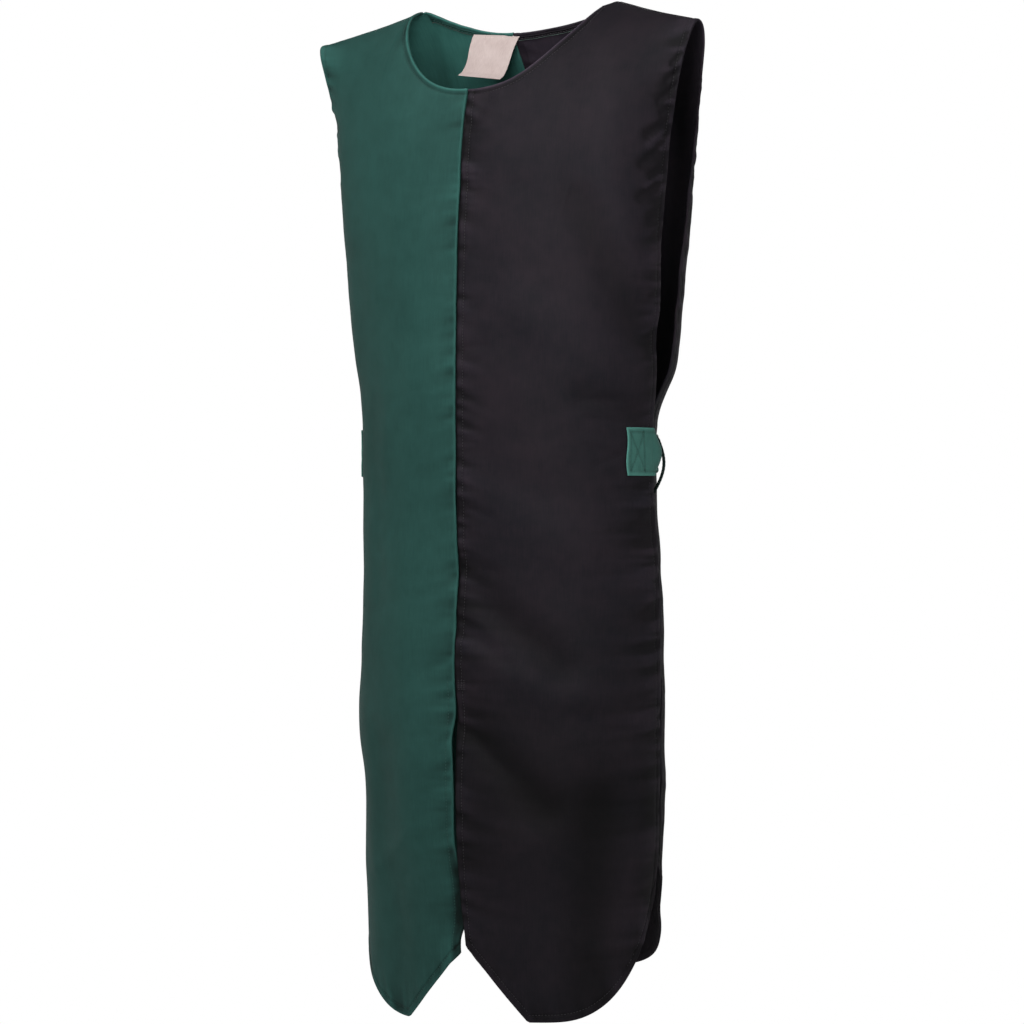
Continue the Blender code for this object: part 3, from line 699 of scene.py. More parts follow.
def cloth_tone(face, colour, share, z, small, distances):
    """(outer, inner): how much paler or darker the cloth is: painted highlights on raised edges, folds and
    puckers, painted shade in grooves, troughs and low on the black, painted light inside the back's neck, and
    some worn fading at the edges.
    """
    centre = distances["centre"]
    slit, neckline = on_slit(z), on_neck(share)
    # Painted shade in the groove of the centre seam's stitching.
    sewn = STITCH_SHADE * (1.0 if colour == "black" else 0.3 * slit) * near(centre - SEAM_STITCH, 0.0011)
    outer, inner = sewn, sewn
    # Paler at the edges, partly worn fading and partly painted highlight, and painted shade in the stitch
    # grooves.
    for edge, at, width, outer_tone, inner_tone in EDGE_WEAR_AND_SHADING:
        line = near(distances[edge] - at, width) * (neckline if edge == "neck" else 1.0)
        outer, inner = outer + outer_tone * line, inner + inner_tone * line
    # Painted highlight on the neck's rolled edge.
    outer = outer + neckline * BEAD_HIGHLIGHT[colour] * near(distances["neck"] - 0.0014, 0.0013)
    # Painted shade in the folds' troughs and painted highlight on their ridges.
    folds = np.clip(ridges(FOLDS[face], HALVES[colour] * share, z) / 0.0055, -1.0, 0.25)
    outer = outer + FOLD_SHADING[colour] * folds
    if colour == "black":
        # Painted shade: darker towards the bottom and along the trough low on the black, and darker beside
        # the centre seam, in the shadow of the green's raised edge; darker also at the shoulder tops.
        low = 0.25 * ease((-0.60 - z) / 0.20) + 0.30 * near(z + 0.86, 0.06)
        seam = -0.75 * near(centre, 0.0024) - 0.12 * ease((SEAM_STITCH - centre) / 0.001)
        outer = outer + seam - low - 0.22 * ease((z + 0.16) / 0.12)
    else:
        # Painted highlight on the green's raised edge at the centre seam, and painted shade where that edge
        # rolls inward at the foot of the slit.
        rolled = ease((-0.890 - z) / 0.05) if face == "front" else 0.0
        outer = outer + 0.5 * (1.0 - rolled) * near(centre, 0.0030)
        outer = outer - rolled * ease((0.0105 - centre) / 0.0055)
    # Painted shade in the puckers' hollows and painted highlight on their crests, stronger on the black
    # beside its side edge.
    strength = 1.0 + SIDE_PUCKER_SHADING[colour] * near(distances["side"] - 0.011, 0.018)
    outer = outer + np.clip(strength * small / 0.0013, -0.55, 0.65)
    # Painted light on the inside of the back near the neck.
    if face == "back":
        inner = inner + NECK_INSIDE_LIGHT * near(distances["neck"], NECK_INSIDE_LIGHT_DEPTH)
    return outer, inner


def edge_shift(face, colour, share, z):
    """(towards the centre, inward): how the green front's edge wavers and turns in along the slit."""
    if (face, colour) != ("front", "green"):
        return 0.0, 0.0
    beside = ease((0.014 - share * HALF_CUT) / 0.014)
    foot = ease((-0.895 - z) / 0.05) * (0.45 + 0.55 * ease((z + 1.003) / 0.022))
    waver = near(z + 0.785, 0.020) - 0.4 * near(z + 0.845, 0.025)
    return beside * (0.0042 * foot - 0.0022 * waver), beside * (0.0085 * foot - 0.0006 * waver)


class Half:
    """One quarter of the garment: the front or back of one colour."""

    def __init__(self, face, colour):
        self.face = face
        self.colour = colour
        self.name = f"{face}_{colour}"
        self.shares = np.linspace(0.0, 1.0, 241)
        self.tops = top_down(face, colour, self.shares)
        step = 0.005
        points = placed_point(face, colour, self.shares, self.tops)
        column = placed_point(face, colour, self.shares, self.tops + step) - points
        outline = np.gradient(points, axis=0)
        square = np.linalg.norm(np.cross(outline, column), axis=-1)
        square /= np.linalg.norm(outline, axis=-1) * np.linalg.norm(column, axis=-1)
        self.square = np.clip(square, 0.3, 1.0)
        self.speed = np.linalg.norm(column, axis=-1) / step

    def top(self, share):
        return np.interp(share, self.shares, self.tops)

    def below_top(self, share, distance):
        """The down value at a distance from the neck's outline or the shoulder seam, square to it."""
        return self.top(share) + distance / np.interp(share, self.shares, self.speed * self.square)

    def wall(self, share, down, from_top=None):
        """Points of the plain surface, normals, the heights and tones of both sides, and distances."""
        share, down = np.broadcast_arrays(np.asarray(share, float), np.asarray(down, float))
        point, normal, along_share = surface_frame(self.face, self.colour, share, down)
        z = point[..., 2]
        if from_top is None:
            from_top = (down - self.top(share)) * np.interp(share, self.shares, self.speed)
        off_neck = from_top * np.interp(share, self.shares, self.square)
        distances = edge_distances(self.face, self.colour, share, z, off_neck)
        high, small = relief(self.face, self.colour, share, z, distances)
        outer, inner = sewing(self.face, self.colour, share, z, distances)
        to_centre, inward = edge_shift(self.face, self.colour, share, z)
        point = point - np.asarray(to_centre)[..., None] * along_share
        tones = cloth_tone(self.face, self.colour, share, z, small, distances)
        return point, normal, (high - inward + outer, high - inward + inner - CLOTH), tones, distances

    def over(self, share, down, lift=0.0):
        """Points over the finished cloth, or inside it where lift is below 0, and their normals."""
        point, normal, (outer, inner), _, _ = self.wall(share, down)
        height = outer + lift if lift >= 0.0 else inner + lift
        return point + height[..., None] * normal, normal

    def plain(self, share, down, lift):
        """Points over the plain surface, and their normals."""
        point, normal, _ = surface_frame(self.face, self.colour, share, down)
        return point + lift * normal, normal


# Meshes

def graded(length, step):
    """Distances from 0 to length, closer together near both ends."""
    rim = np.array(RIM_STEPS)
    count = max(int((length - 2 * rim[-1]) / step), 2)
    middle = np.linspace(rim[-1], length - rim[-1], count + 1)
    return np.concatenate([rim[:-1], middle, length - rim[:-1][::-1]])


def panel_widths():
    """Distances of a panel's columns from its centre edge, close together near both edges."""
    rim = np.array(RIM_STEPS[:-1])
    hem = np.arange(RIM_STEPS[-1], HEM_ZONE, HEM_STEP)
    middle = np.linspace(HEM_ZONE, HALF_CUT - HEM_ZONE, int((HALF_CUT - 2 * HEM_ZONE) / ACROSS_STEP) + 1)
    neck_end = NECK_ACROSS * HALF_CUT
    middle = np.append(middle[np.abs(middle - neck_end) > 0.3 * ACROSS_STEP], neck_end)
    return np.sort(np.concatenate([rim, hem, middle, HALF_CUT - hem, HALF_CUT - rim]))


def column_places(half, share, rows):
    """One column's down values, its points' distances from its top, and its distance down to the yoke."""
    start = float(half.top(share))
    end = float(hem_down(half.face, half.colour, np.array(share)))
    dense = np.concatenate([np.linspace(start, 1.0, 400), np.linspace(1.0, end, 200)[1:]])
    points = placed_point(half.face, half.colour, np.full(dense.shape, share), dense)
    along = lengths(points)
    rim = np.concatenate([RIM_STEPS[:-1], np.arange(RIM_STEPS[-1], RIM_ZONE, RIM_STEP)])
    middle = np.linspace(RIM_ZONE, along[-1] - RIM_ZONE, rows)
    places = np.concatenate([rim, middle, along[-1] - rim[::-1]])
    return np.interp(places, along, dense), places, np.full(places.shape, along[399])


def new_object(name, points, faces, material, cloth=None, tone=None):
    mesh = bpy.data.meshes.new(name)
    mesh.from_pydata(points.tolist(), [], faces)
    mesh.shade_smooth()
    mesh.materials.append(material)
    attributes = (("cloth", "FLOAT_VECTOR", "vector", cloth), ("tone", "FLOAT", "value", tone))
    for label, kind, key, values in attributes:
        if values is not None:
            attribute = mesh.attributes.new(label, kind, "POINT")
            attribute.data.foreach_set(key, values.astype(np.float32).ravel())
    obj = bpy.data.objects.new(name, mesh)
    bpy.context.scene.collection.objects.link(obj)
    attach(obj, "root")
    return obj


def wall_mesh(name, outer, inner, material, cloth, tones=None):
    """A closed wall between two grids of points. cloth holds each grid point's place on the flat cloth."""
    rows, columns = outer.shape[:2]
    under = rows * columns
    index = np.arange(under).reshape(rows, columns)
    quads = np.stack([index[:-1, :-1], index[1:, :-1], index[1:, 1:], index[:-1, 1:]], axis=-1).reshape(-1, 4)
    border = np.concatenate([index[0, :], index[1:, -1], index[-1, -2::-1], index[-2:0:-1, 0]])
    ahead = np.roll(border, -1)
    rim = np.stack([ahead, border, under + border, under + ahead], axis=1)
    faces = np.concatenate([quads, under + quads[:, ::-1], rim])
    flat_outer, flat_inner = outer.reshape(-1, 3), inner.reshape(-1, 3)
    a, b, c, _ = quads[len(quads) // 2]
    out = np.cross(flat_outer[b] - flat_outer[a], flat_outer[c] - flat_outer[a])
    if out @ (flat_outer[a] - flat_inner[a]) < 0:
        faces = faces[:, ::-1]
    places = np.concatenate([cloth.reshape(-1, 3), cloth.reshape(-1, 3) + (0.0, 0.0, 2 * CLOTH)])
    tone = None if tones is None else np.concatenate([side.ravel() for side in np.broadcast_arrays(*tones)])
    return new_object(name, np.concatenate([flat_outer, flat_inner]), faces.tolist(), material, places, tone)


def rounded_wall(base, normal, low, high, round_off):
    """Outer and inner points of a wall between two heights over a surface, closed at the rim."""
    middle = (low + high) / 2
    half = (high - low) / 2 * round_off
    return base + (middle + half)[..., None] * normal, base + (middle - half)[..., None] * normal


def edge_rounding(*distances):
    t = np.clip(np.minimum.reduce(np.broadcast_arrays(*distances)) / EDGE_RADIUS, 0.0, 1.0)
    return np.sqrt(np.maximum(1.0 - (1.0 - t) ** 2, 0.0))


def make_panel(half, material):
    """The finished cloth of one quarter."""
    shares = panel_widths() / HALF_CUT
    rows = int(1.05 / DOWN_STEP)
    columns = zip(*[column_places(half, share, rows) for share in shares])
    downs, places, to_yoke = (np.array(column).T for column in columns)
    share_grid = np.broadcast_to(shares, downs.shape)
    point, normal, (outer, inner), tones, distances = half.wall(share_grid, downs, places)
    outside, inside = rounded_wall(point, normal, inner, outer, edge_rounding(*distances.values()))
    flat_x = HALVES[half.colour] * share_grid * HALF_CUT
    flat_y = YOKE_Z + to_yoke - places
    layer = 0.5 * FACES.index(half.face)
    obj = wall_mesh(f"{half.name}_cloth", outside, inside, material,
                    np.stack([flat_x, flat_y, np.full(flat_x.shape, layer)], axis=-1), tones)
    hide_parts(half.name)
    return obj


# Rings of one stitch. Columns: along, wide, high
STITCH_RINGS = ((0.0, 0.25, -0.6), (0.18, 1.0, 0.55), (0.82, 1.0, 0.55), (1.0, 0.25, -0.6))


def stitch_row(path, normals, pitch=STITCH_PITCH, length=STITCH_LENGTH, width=STITCH_WIDTH):
    """Points and faces of a row of stitches along a path on the cloth."""
    along = lengths(path)
    count = int((along[-1] - length) / pitch) + 1
    starts = np.arange(count) * pitch + (along[-1] - (count - 1) * pitch - length) / 2

    def at(places, values):
        return np.stack([np.interp(places, along, values[:, k]) for k in range(3)], axis=1)

    rings = []
    for t, wide, high in STITCH_RINGS:
        places = starts + t * length
        centre, out = at(places, path), unit(at(places, normals))
        ahead = at(places + 3e-4, path) - at(places - 3e-4, path)
        across = unit(np.cross(out, ahead)) * width / 2 * wide
        top, low = out * STITCH_HEIGHT * high, out * STITCH_HEIGHT * -1.2
        rings.append(np.stack([centre - across + low, centre - 0.8 * across + top,
                               centre + 0.8 * across + top, centre + across + low], axis=1))
    points = np.stack(rings, axis=1).reshape(-1, 3)
    one = [(4 * r + e, 4 * r + (e + 1) % 4, 4 * r + 4 + (e + 1) % 4, 4 * r + 4 + e)
           for r in range(3) for e in range(4)]
    one += [(3, 2, 1, 0), (12, 13, 14, 15)]
    faces = [tuple(16 * k + corner for corner in face) for k in range(count) for face in one]
    return points, faces


def join_stitches(name, rows, material):
    """One object from several rows of stitches."""
    points, faces, start = [], [], 0
    for row_points, row_faces in rows:
        points.append(row_points)
        faces += [tuple(start + k for k in face) for face in row_faces]
        start += len(row_points)
    return new_object(name, np.concatenate(points), faces, material)


def make_panel_stitches(half, material):
    """The topstitching of one quarter: side, hem, centre seam or slit, neck, and the black's bar tack."""
    face, colour = half.face, half.colour
    side_share = 1.0 - HEM_STITCH / HALF_CUT
    seam_share = SEAM_STITCH / HALF_CUT

    def above_hem(share, off):
        return hem_down(face, colour, share) - off * np.sqrt(1.0 + hem_slope(face, colour, share) ** 2)

    lines = []
    start = half.below_top(side_share, 0.003)
    downs = np.linspace(start, above_hem(np.array(side_share), HEM_STITCH), SIDE_POINTS)
    lines.append((np.full(downs.shape, side_share), downs))
    shares = np.linspace(seam_share, side_share, HEM_POINTS)
    lines.append((shares, above_hem(shares, HEM_STITCH)))
    start = float(half.below_top(seam_share, NECK_HEM + 0.002))
    if colour == "green":
        start = down_at(SLIT_TOP_Z)
    downs = np.linspace(start, float(above_hem(np.array(seam_share), HEM_STITCH)), SIDE_POINTS)
    lines.append((np.full(downs.shape, seam_share), downs))
    shares = np.linspace(0.001, NECK_ACROSS - 0.004, NECK_POINTS)
    lines.append((shares, half.below_top(shares, NECK_HEM)))
    if colour == "black":
        for k in range(TACK_ROWS):
            shares = np.linspace(0.4 * SEAM_STITCH, 0.4 * SEAM_STITCH + TACK_WIDTH, 12) / HALF_CUT
            lines.append((shares, np.full(shares.shape, down_at(SLIT_TOP_Z) + TACK_PITCH * k)))
    obj = join_stitches(f"stitches_{half.name}", [stitch_row(*half.over(*line)) for line in lines], material)
    return obj


# Trimmings

def make_neck_facing(half, material, thread, edge_thread):
    """The narrow strip sewn inside the back's neck edge, on one half."""
    colour = half.colour
    stitched_at = NECK_HEM - 0.0008
    shares = np.linspace(0.0, NECK_ACROSS, 110)
    widths = graded(FACING_WIDTH, 0.0011)[:, None] + 0.0 * shares
    wavy = widths * (1.0 + 0.05 * noise(shares * 14.0, 0.0 * shares + 0.5, 301))
    downs = half.below_top(shares, 0.0004 + wavy)
    base, normal = half.over(np.broadcast_to(shares, downs.shape), downs, -LAY)
    rim = edge_rounding(widths, FACING_WIDTH - widths, shares * HALF_CUT)
    high = FACING_THICKNESS + groove(widths, stitched_at)
    outside, inside = rounded_wall(base, -normal, 0.0 * downs, high, rim)
    flat = np.stack([shares * HALF_CUT + 0.0 * downs, widths, 0.3 + 0.0 * downs], axis=-1)
    # Paler along the strip's edges, partly worn fading and partly painted highlight, and painted shade in its
    # stitch groove.
    tone = 0.35 * near(widths, 0.0015) + 0.25 * near(widths - FACING_WIDTH, 0.001)
    tone = tone - 0.4 * near(widths - stitched_at, 0.0009)
    strip = wall_mesh(f"facing_{colour}", outside, inside, material, flat, (tone, tone))
    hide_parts(f"neck_facing_{colour}")
    shares = np.linspace(0.004, NECK_ACROSS - 0.004, NECK_POINTS)
    seam, out = half.over(shares, half.below_top(shares, NECK_HEM - 0.0004), -LAY - FACING_THICKNESS)
    sewn = join_stitches(f"facing_stitches_{colour}", [stitch_row(seam, -out)], thread)
    downs = half.below_top(shares, FACING_WIDTH + 0.0006)
    edge, out = half.over(shares, downs, -LAY - 0.5 * FACING_THICKNESS)
    bound = stitch_row(edge, -out, pitch=0.0016, length=0.0015, width=0.0011)
    overlock = join_stitches(f"facing_edge_{colour}", [bound], edge_thread)


def strap_base(halves, colour, rows):
    """The strap's inner face, as rows of points from front to back. rows are depths below its upper edge."""
    downs = (down_at(STRAP_TOP_Z) + rows)[:, None]
    level = rows / STRAP_HEIGHT
    places = graded(STRAP_ON_FRONT, STRAP_STEP)[:-5]
    lift = LAY + 0.25 * HEM_FOLD
    waver = 0.0012 * np.sin(2.0 * math.pi * level[:, None]) * ease(1.0 - places / 0.012)
    front, _ = halves["front"].plain(STRAP_FRONT_SHARE + (places + waver) / HALF_CUT, downs, lift)
    places = graded(STRAP_ON_BACK, STRAP_STEP)[5:]
    drawn = (STRAP_DIP * (1.0 - level) ** 2 - STRAP_RISE * level ** 2)[:, None]
    drawn = drawn * (1.0 - 0.6 * places / STRAP_ON_BACK)
    back, _ = halves["back"].plain(STRAP_LANDING_SHARE - places / HALF_CUT, downs + drawn, lift)
    leaving = unit(front[:, -1] - front[:, -2])
    arriving = unit(back[:, 1] - back[:, 0])
    reach = 0.35 * np.linalg.norm(back[:, 0] - front[:, -1], axis=1, keepdims=True)
    arch = np.sin(math.pi * level)
    bow = STRAP_BULGE * (0.4 + 0.6 * arch) + STRAP_FULLNESS * (arch - 0.6)
    bow = HALVES[colour] * bow[:, None] * (1.0, 0.0, 0.0)
    first, last = front[:, -1], back[:, 0]
    curve = (first, first + leaving * reach + bow, last - arriving * reach + bow, last)
    loose = np.stack([bezier(curve, t) for t in np.linspace(0.0, 1.0, 18)[1:-1]], axis=1)
    return np.concatenate([front, loose, back], axis=1)


def outward_of(points, outward):
    """The unit normals of a grid of points, on the side that outward points to."""
    out = unit(np.cross(np.gradient(points, axis=1), np.gradient(points, axis=0)))
    return out if (out * outward).sum() > 0 else -out


def strap_lines(length):
    """The strap's lines of stitching: a crossed box at each end, and both turned edges between them."""
    top, low = STRAP_EDGE - 0.001, STRAP_HEIGHT - STRAP_EDGE + 0.001
    lines = []
    for start, end in ((CROSS_INSET, CROSS_BOX), (length - CROSS_INSET, length - CROSS_BOX)):
        box = ((start, top), (end, top), (end, low), (start, low))
        lines += list(zip(box, box[1:] + box[:1]))
        lines += [(box[0], box[2]), (box[1], box[3])]
    lines += [((CROSS_BOX, y), (length - CROSS_BOX, y)) for y in (top, low)]
    return lines


def grid_place(grid, columns, rows, x, y):
    """Points of a grid at places x along its columns and y down its rows."""
    i = np.interp(y, rows, np.arange(len(rows)))
    j = np.interp(x, columns, np.arange(len(columns)))
    return between(grid, i, j)


def make_strap(name, halves, colour, material, thread):
    """The doubled strap of green cloth that joins the front and the back at one side of the waist."""
    rows = graded(STRAP_HEIGHT, STRAP_STEP)
    base = strap_base(halves, colour, rows)
    normal = outward_of(base, (HALVES[colour], 0.0, 0.0))
    middle = base[len(rows) // 2]
    along = lengths(middle)
    length = along[-1]
    x, y = np.meshgrid(along, rows)
    from_rim = np.minimum.reduce([y, STRAP_HEIGHT - y, x, length - x])
    edge = ease((STRAP_EDGE - np.minimum(y, STRAP_HEIGHT - y)) / 0.0012)
    edge = np.maximum(edge, ease((0.0052 - np.minimum(x, length - x)) / 0.0012))
    soft = 0.00025 * noise(x / 0.012, y / 0.009, 410 + int(HALVES[colour]))
    high = STRAP_THICKNESS + 0.0006 * edge + soft
    # Painted highlight on the turned edges and rim, painted light and shade on the cloth's soft unevenness,
    # and painted shade in the stitch grooves.
    tone = 0.55 * near(from_rim, 0.0016) + 0.12 * edge + 400.0 * soft
    for line in strap_lines(length):
        sunk = near(line_distance(x, y, line), 0.0010)
        high = high - 0.0004 * sunk
        tone = tone - 0.32 * sunk
    outside, inside = rounded_wall(base, normal, np.zeros_like(high), high, edge_rounding(from_rim))
    strap = wall_mesh(f"{name}_cloth", outside, inside, material, np.stack([x, y, 0.0 * x + 0.7], axis=-1),
                      (tone, 0.0 * tone))
    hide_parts(name)
    stitches = []
    for (x0, y0), (x1, y1) in strap_lines(length):
        t = np.linspace(0.0, 1.0, LINE_POINTS)
        places = (x0 + (x1 - x0) * t, y0 + (y1 - y0) * t)
        stitches.append(stitch_row(grid_place(outside, along, rows, *places),
                                   grid_place(normal, along, rows, *places), pitch=0.003, length=0.0023))
    sewn = join_stitches(f"{name}_stitches", stitches, thread)


def make_belt_loop(name, side, material):
    """The upright loop of twisted cord for a belt, sewn to the strap above and the back's edge below."""
    top, foot = (np.array(point) * (side, 1.0, 1.0) for point in (LOOP_TOP, LOOP_FOOT))
    turns = np.linspace(-LOOP_TUCK, 1.0 + LOOP_TUCK, LOOP_RINGS)[:, None]
    beyond = np.maximum(np.maximum(-turns, turns - 1.0), 0.0)
    bow = np.sin(math.pi * np.clip(turns, 0.0, 1.0)) - math.pi * beyond - 4.0 * beyond ** 2 / LOOP_TUCK
    route = top + (foot - top) * turns + side * LOOP_BULGE * bow * (1.0, 0.0, 0.0)
    ahead = unit(np.gradient(route, axis=0))
    beside = unit(np.cross(ahead, (0.0, 1.0, 0.0)))
    across = np.cross(ahead, beside)
    along = lengths(route)
    angles = np.linspace(0.0, 2.0 * math.pi, LOOP_SIDES, endpoint=False)
    turned = angles[None, :] - 2.0 * math.pi * along[:, None] / LOOP_TWIST
    strands = np.abs(np.cos(LOOP_STRANDS / 2 * turned))
    radius = LOOP_DIAMETER / 2 * (0.96 + 0.14 * strands)
    ring = (np.cos(angles)[None, :, None] * beside[:, None] + np.sin(angles)[None, :, None] * across[:, None])
    points = route[:, None] + radius[..., None] * ring
    count, around = points.shape[:2]
    faces = [(around * i + j, around * i + (j + 1) % around, around * (i + 1) + (j + 1) % around,
              around * (i + 1) + j) for i in range(count - 1) for j in range(around)]
    faces += [tuple(range(around))[::-1], tuple(around * (count - 1) + j for j in range(around))]
    cord = new_object(f"{name}_cord", points.reshape(-1, 3), faces, material)
    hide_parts(name)


def neck_cloth_y(z):
    """How far back the cloth of the back lies at a height near the neck, where the label is sewn."""
    downs = np.linspace(0.0, 1.0, 401)
    ends = (LABEL_CENTRE_X - LABEL_WIDTH / 2, LABEL_CENTRE_X, LABEL_CENTRE_X + LABEL_WIDTH / 2)
    middle = cloth_point("back", "green", LABEL_CENTRE_X / HALF_CUT, downs)
    down = float(np.interp(-z, -middle[:, 2], downs))
    return min(float(cloth_point("back", "green", np.array(x / HALF_CUT), down)[1]) for x in ends)


def make_label(material, thread):
    """The blank woven label, folded over at its top, sewn inside the back of the neck and swung forward."""
    top_y = neck_cloth_y(LABEL_TOP_Z) - CLOTH - GAP - FACING_THICKNESS - GAP - LABEL_CLEARANCE
    drop = math.sqrt(LABEL_LENGTH ** 2 - LABEL_SWING ** 2)
    x, y = np.meshgrid(graded(LABEL_WIDTH, LABEL_STEP), graded(LABEL_LENGTH, LABEL_STEP))
    across, t = x / LABEL_WIDTH, y / LABEL_LENGTH
    forward = LABEL_SWING * (t + t * t) / 2 + 0.0025 * ease((t - 0.88) / 0.12)
    forward = forward - LABEL_CLEARANCE * ease(1.0 - t / 0.10)
    turned = across * (LABEL_TURN * t + LABEL_CURL * np.sin(math.pi * t))
    sway = -0.0013 * np.sin(2.0 * math.pi * t) * (1.0 - 0.3 * across)
    uneven = 0.0005 * noise(x / 0.018, y / 0.016, 501)
    narrowed = 0.0028 * (1.0 - across) * t
    place_x = LABEL_CENTRE_X + (across - 0.5) * LABEL_WIDTH + LABEL_DRIFT * t + sway + narrowed
    place_z = LABEL_TOP_Z - drop * t - LABEL_TILT * across * (1.0 + 0.7 * t) + 0.0010 * ease((t - 0.9) / 0.1)
    points = np.stack([place_x, top_y - forward - turned + uneven, place_z], axis=-1)
    normal = outward_of(points, (0.0, -1.0, 0.0))
    from_rim = np.minimum.reduce([x, LABEL_WIDTH - x, y, LABEL_LENGTH - y])
    fold = 0.00035 * ease((LABEL_FOLD - y) / 0.0008)
    low = np.full(x.shape, -LABEL_THICKNESS)
    outside, inside = rounded_wall(points, normal, low, fold, edge_rounding(from_rim * 2.0))
    label = wall_mesh("label_cloth", outside, inside, material, np.stack([x, y, 0.0 * x + 0.8], axis=-1))
    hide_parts("neck_label")
    line_x = np.linspace(0.002, LABEL_WIDTH - 0.002, LINE_POINTS)
    place = (line_x, np.full(line_x.shape, LABEL_FOLD - 0.0016))
    grid = (x[0], y[:, 0])
    row = stitch_row(grid_place(outside, *grid, *place), grid_place(normal, *grid, *place),
                     pitch=0.0028, length=0.0021, width=0.0005)
    sewn = join_stitches("label_stitches", [row], thread)


# Materials

def feed(tree, place, value):
    """Gives a shader input a number, a colour or another node's output."""
    if isinstance(value, bpy.types.NodeSocket):
        tree.links.new(value, place)
    else:
        place.default_value = value


def node(tree, kind, **inputs):
    made = tree.nodes.new(kind)
    for name, value in inputs.items():
        feed(tree, made.inputs[name.replace("_", " ")], value)
    return made


def noise_texture(tree, place, scale, detail=2.0, roughness=0.5):
    made = node(tree, "ShaderNodeTexNoise", Vector=place, Scale=scale, Detail=detail, Roughness=roughness)
    return made.outputs["Fac"]


def mapped(tree, place, **change):
    return node(tree, "ShaderNodeMapping", Vector=place, **change).outputs["Vector"]


def math_node(tree, operation, *values):
    made = tree.nodes.new("ShaderNodeMath")
    made.operation = operation
    for place, value in zip(made.inputs, values):
        feed(tree, place, value)
    return made.outputs[0]


def mixed(tree, share, first, second):
    """Two colours mixed, with this share of the second."""
    made = tree.nodes.new("ShaderNodeMix")
    made.data_type = "RGBA"
    for name, value in (("Factor", share), ("A", first), ("B", second)):
        feed(tree, made.inputs[name], value)
    return made.outputs["Result"]


def raised(tree, shader, height, strength, distance):
    """Gives a shader fine relief by the value of height."""
    bump = node(tree, "ShaderNodeBump", Height=height, Strength=strength, Distance=distance)
    feed(tree, shader.inputs["Normal"], bump.outputs["Normal"])


def new_material(name, roughness, specular, sheen=0.0, tint=(1.0, 1.0, 1.0)):
    """A material, its nodes, its shader, and the place of each point on the flat cloth."""
    made = bpy.data.materials.new(name)
    made.use_nodes = True
    tree = made.node_tree
    shader = tree.nodes["Principled BSDF"]
    for key, value in (("Roughness", roughness), ("Specular IOR Level", specular), ("Sheen Weight", sheen),
                       ("Sheen Roughness", 0.5), ("Sheen Tint", (*tint, 1.0))):
        shader.inputs[key].default_value = value
    place = tree.nodes.new("ShaderNodeAttribute")
    place.attribute_name = "cloth"
    return made, tree, shader, place.outputs["Vector"]


def colour_ramp(tree, source, stops):
    """Colours by the value of source. stops are (position, colour) pairs."""
    ramp = node(tree, "ShaderNodeValToRGB", Fac=source)
    while len(ramp.color_ramp.elements) < len(stops):
        ramp.color_ramp.elements.new(0.5)
    for element, (position, colour) in zip(ramp.color_ramp.elements, stops):
        element.position = position
        element.color = (*colour, 1.0)
    return ramp.outputs["Color"]


def twill_material(name, dark, light, lint, tint):
    """Cotton twill: fine diagonal ribs, uneven dye, threads of different shades, a little lint, and the
    painted light and shade of the tone attribute.
    """
    made, tree, shader, place = new_material(name, roughness=0.7, specular=0.16, sheen=0.012, tint=tint)
    clouds = noise_texture(tree, place, scale=9.0, detail=3.0, roughness=0.55)
    mottle = noise_texture(tree, place, scale=55.0, detail=5.0, roughness=0.65)
    threads = noise_texture(tree, mapped(tree, place, Scale=(900.0, 45.0, 1.0)), scale=1.0, detail=1.0)
    shade = math_node(tree, "MULTIPLY", clouds, 0.45)
    shade = math_node(tree, "MULTIPLY_ADD", mottle, 0.33, shade)
    shade = math_node(tree, "MULTIPLY_ADD", threads, 0.22, shade)
    dye = colour_ramp(tree, shade, ((0.38, dark), (0.62, light)))
    specks = noise_texture(tree, place, scale=420.0, roughness=0.7)
    specks = math_node(tree, "GREATER_THAN", specks, 0.74)
    dusted = mixed(tree, math_node(tree, "MULTIPLY", specks, 0.35), dye, (*lint, 1.0))
    # Painted light and shade: the tone attribute makes the dye paler for painted highlights and darker for
    # painted shade.
    tone = tree.nodes.new("ShaderNodeAttribute")
    tone.attribute_name = "tone"
    painted_shading = math_node(tree, "MULTIPLY_ADD", tone.outputs["Fac"], TONE_STRENGTH, 1.0)
    painted_shading = math_node(tree, "MAXIMUM", painted_shading, DARKEST_TONE)
    scaled = tree.nodes.new("ShaderNodeVectorMath")
    scaled.operation = "SCALE"
    feed(tree, scaled.inputs["Vector"], dusted)
    feed(tree, scaled.inputs["Scale"], painted_shading)
    feed(tree, shader.inputs["Base Color"], scaled.outputs["Vector"])
    slanted = mapped(tree, place, Rotation=(0.0, 0.0, TWILL_ANGLE))
    ribs = node(tree, "ShaderNodeTexWave", Vector=slanted, Scale=430.0, Distortion=1.0, Detail=2.0,
                Detail_Scale=1.4)
    fuzz = noise_texture(tree, place, scale=1100.0, roughness=0.6)
    feed(tree, shader.inputs["Roughness"], math_node(tree, "MULTIPLY_ADD", fuzz, 0.12, 0.60))
    height = math_node(tree, "MULTIPLY_ADD", fuzz, 0.8, ribs.outputs["Fac"])
    raised(tree, shader, height, strength=0.35, distance=0.0003)
    return made


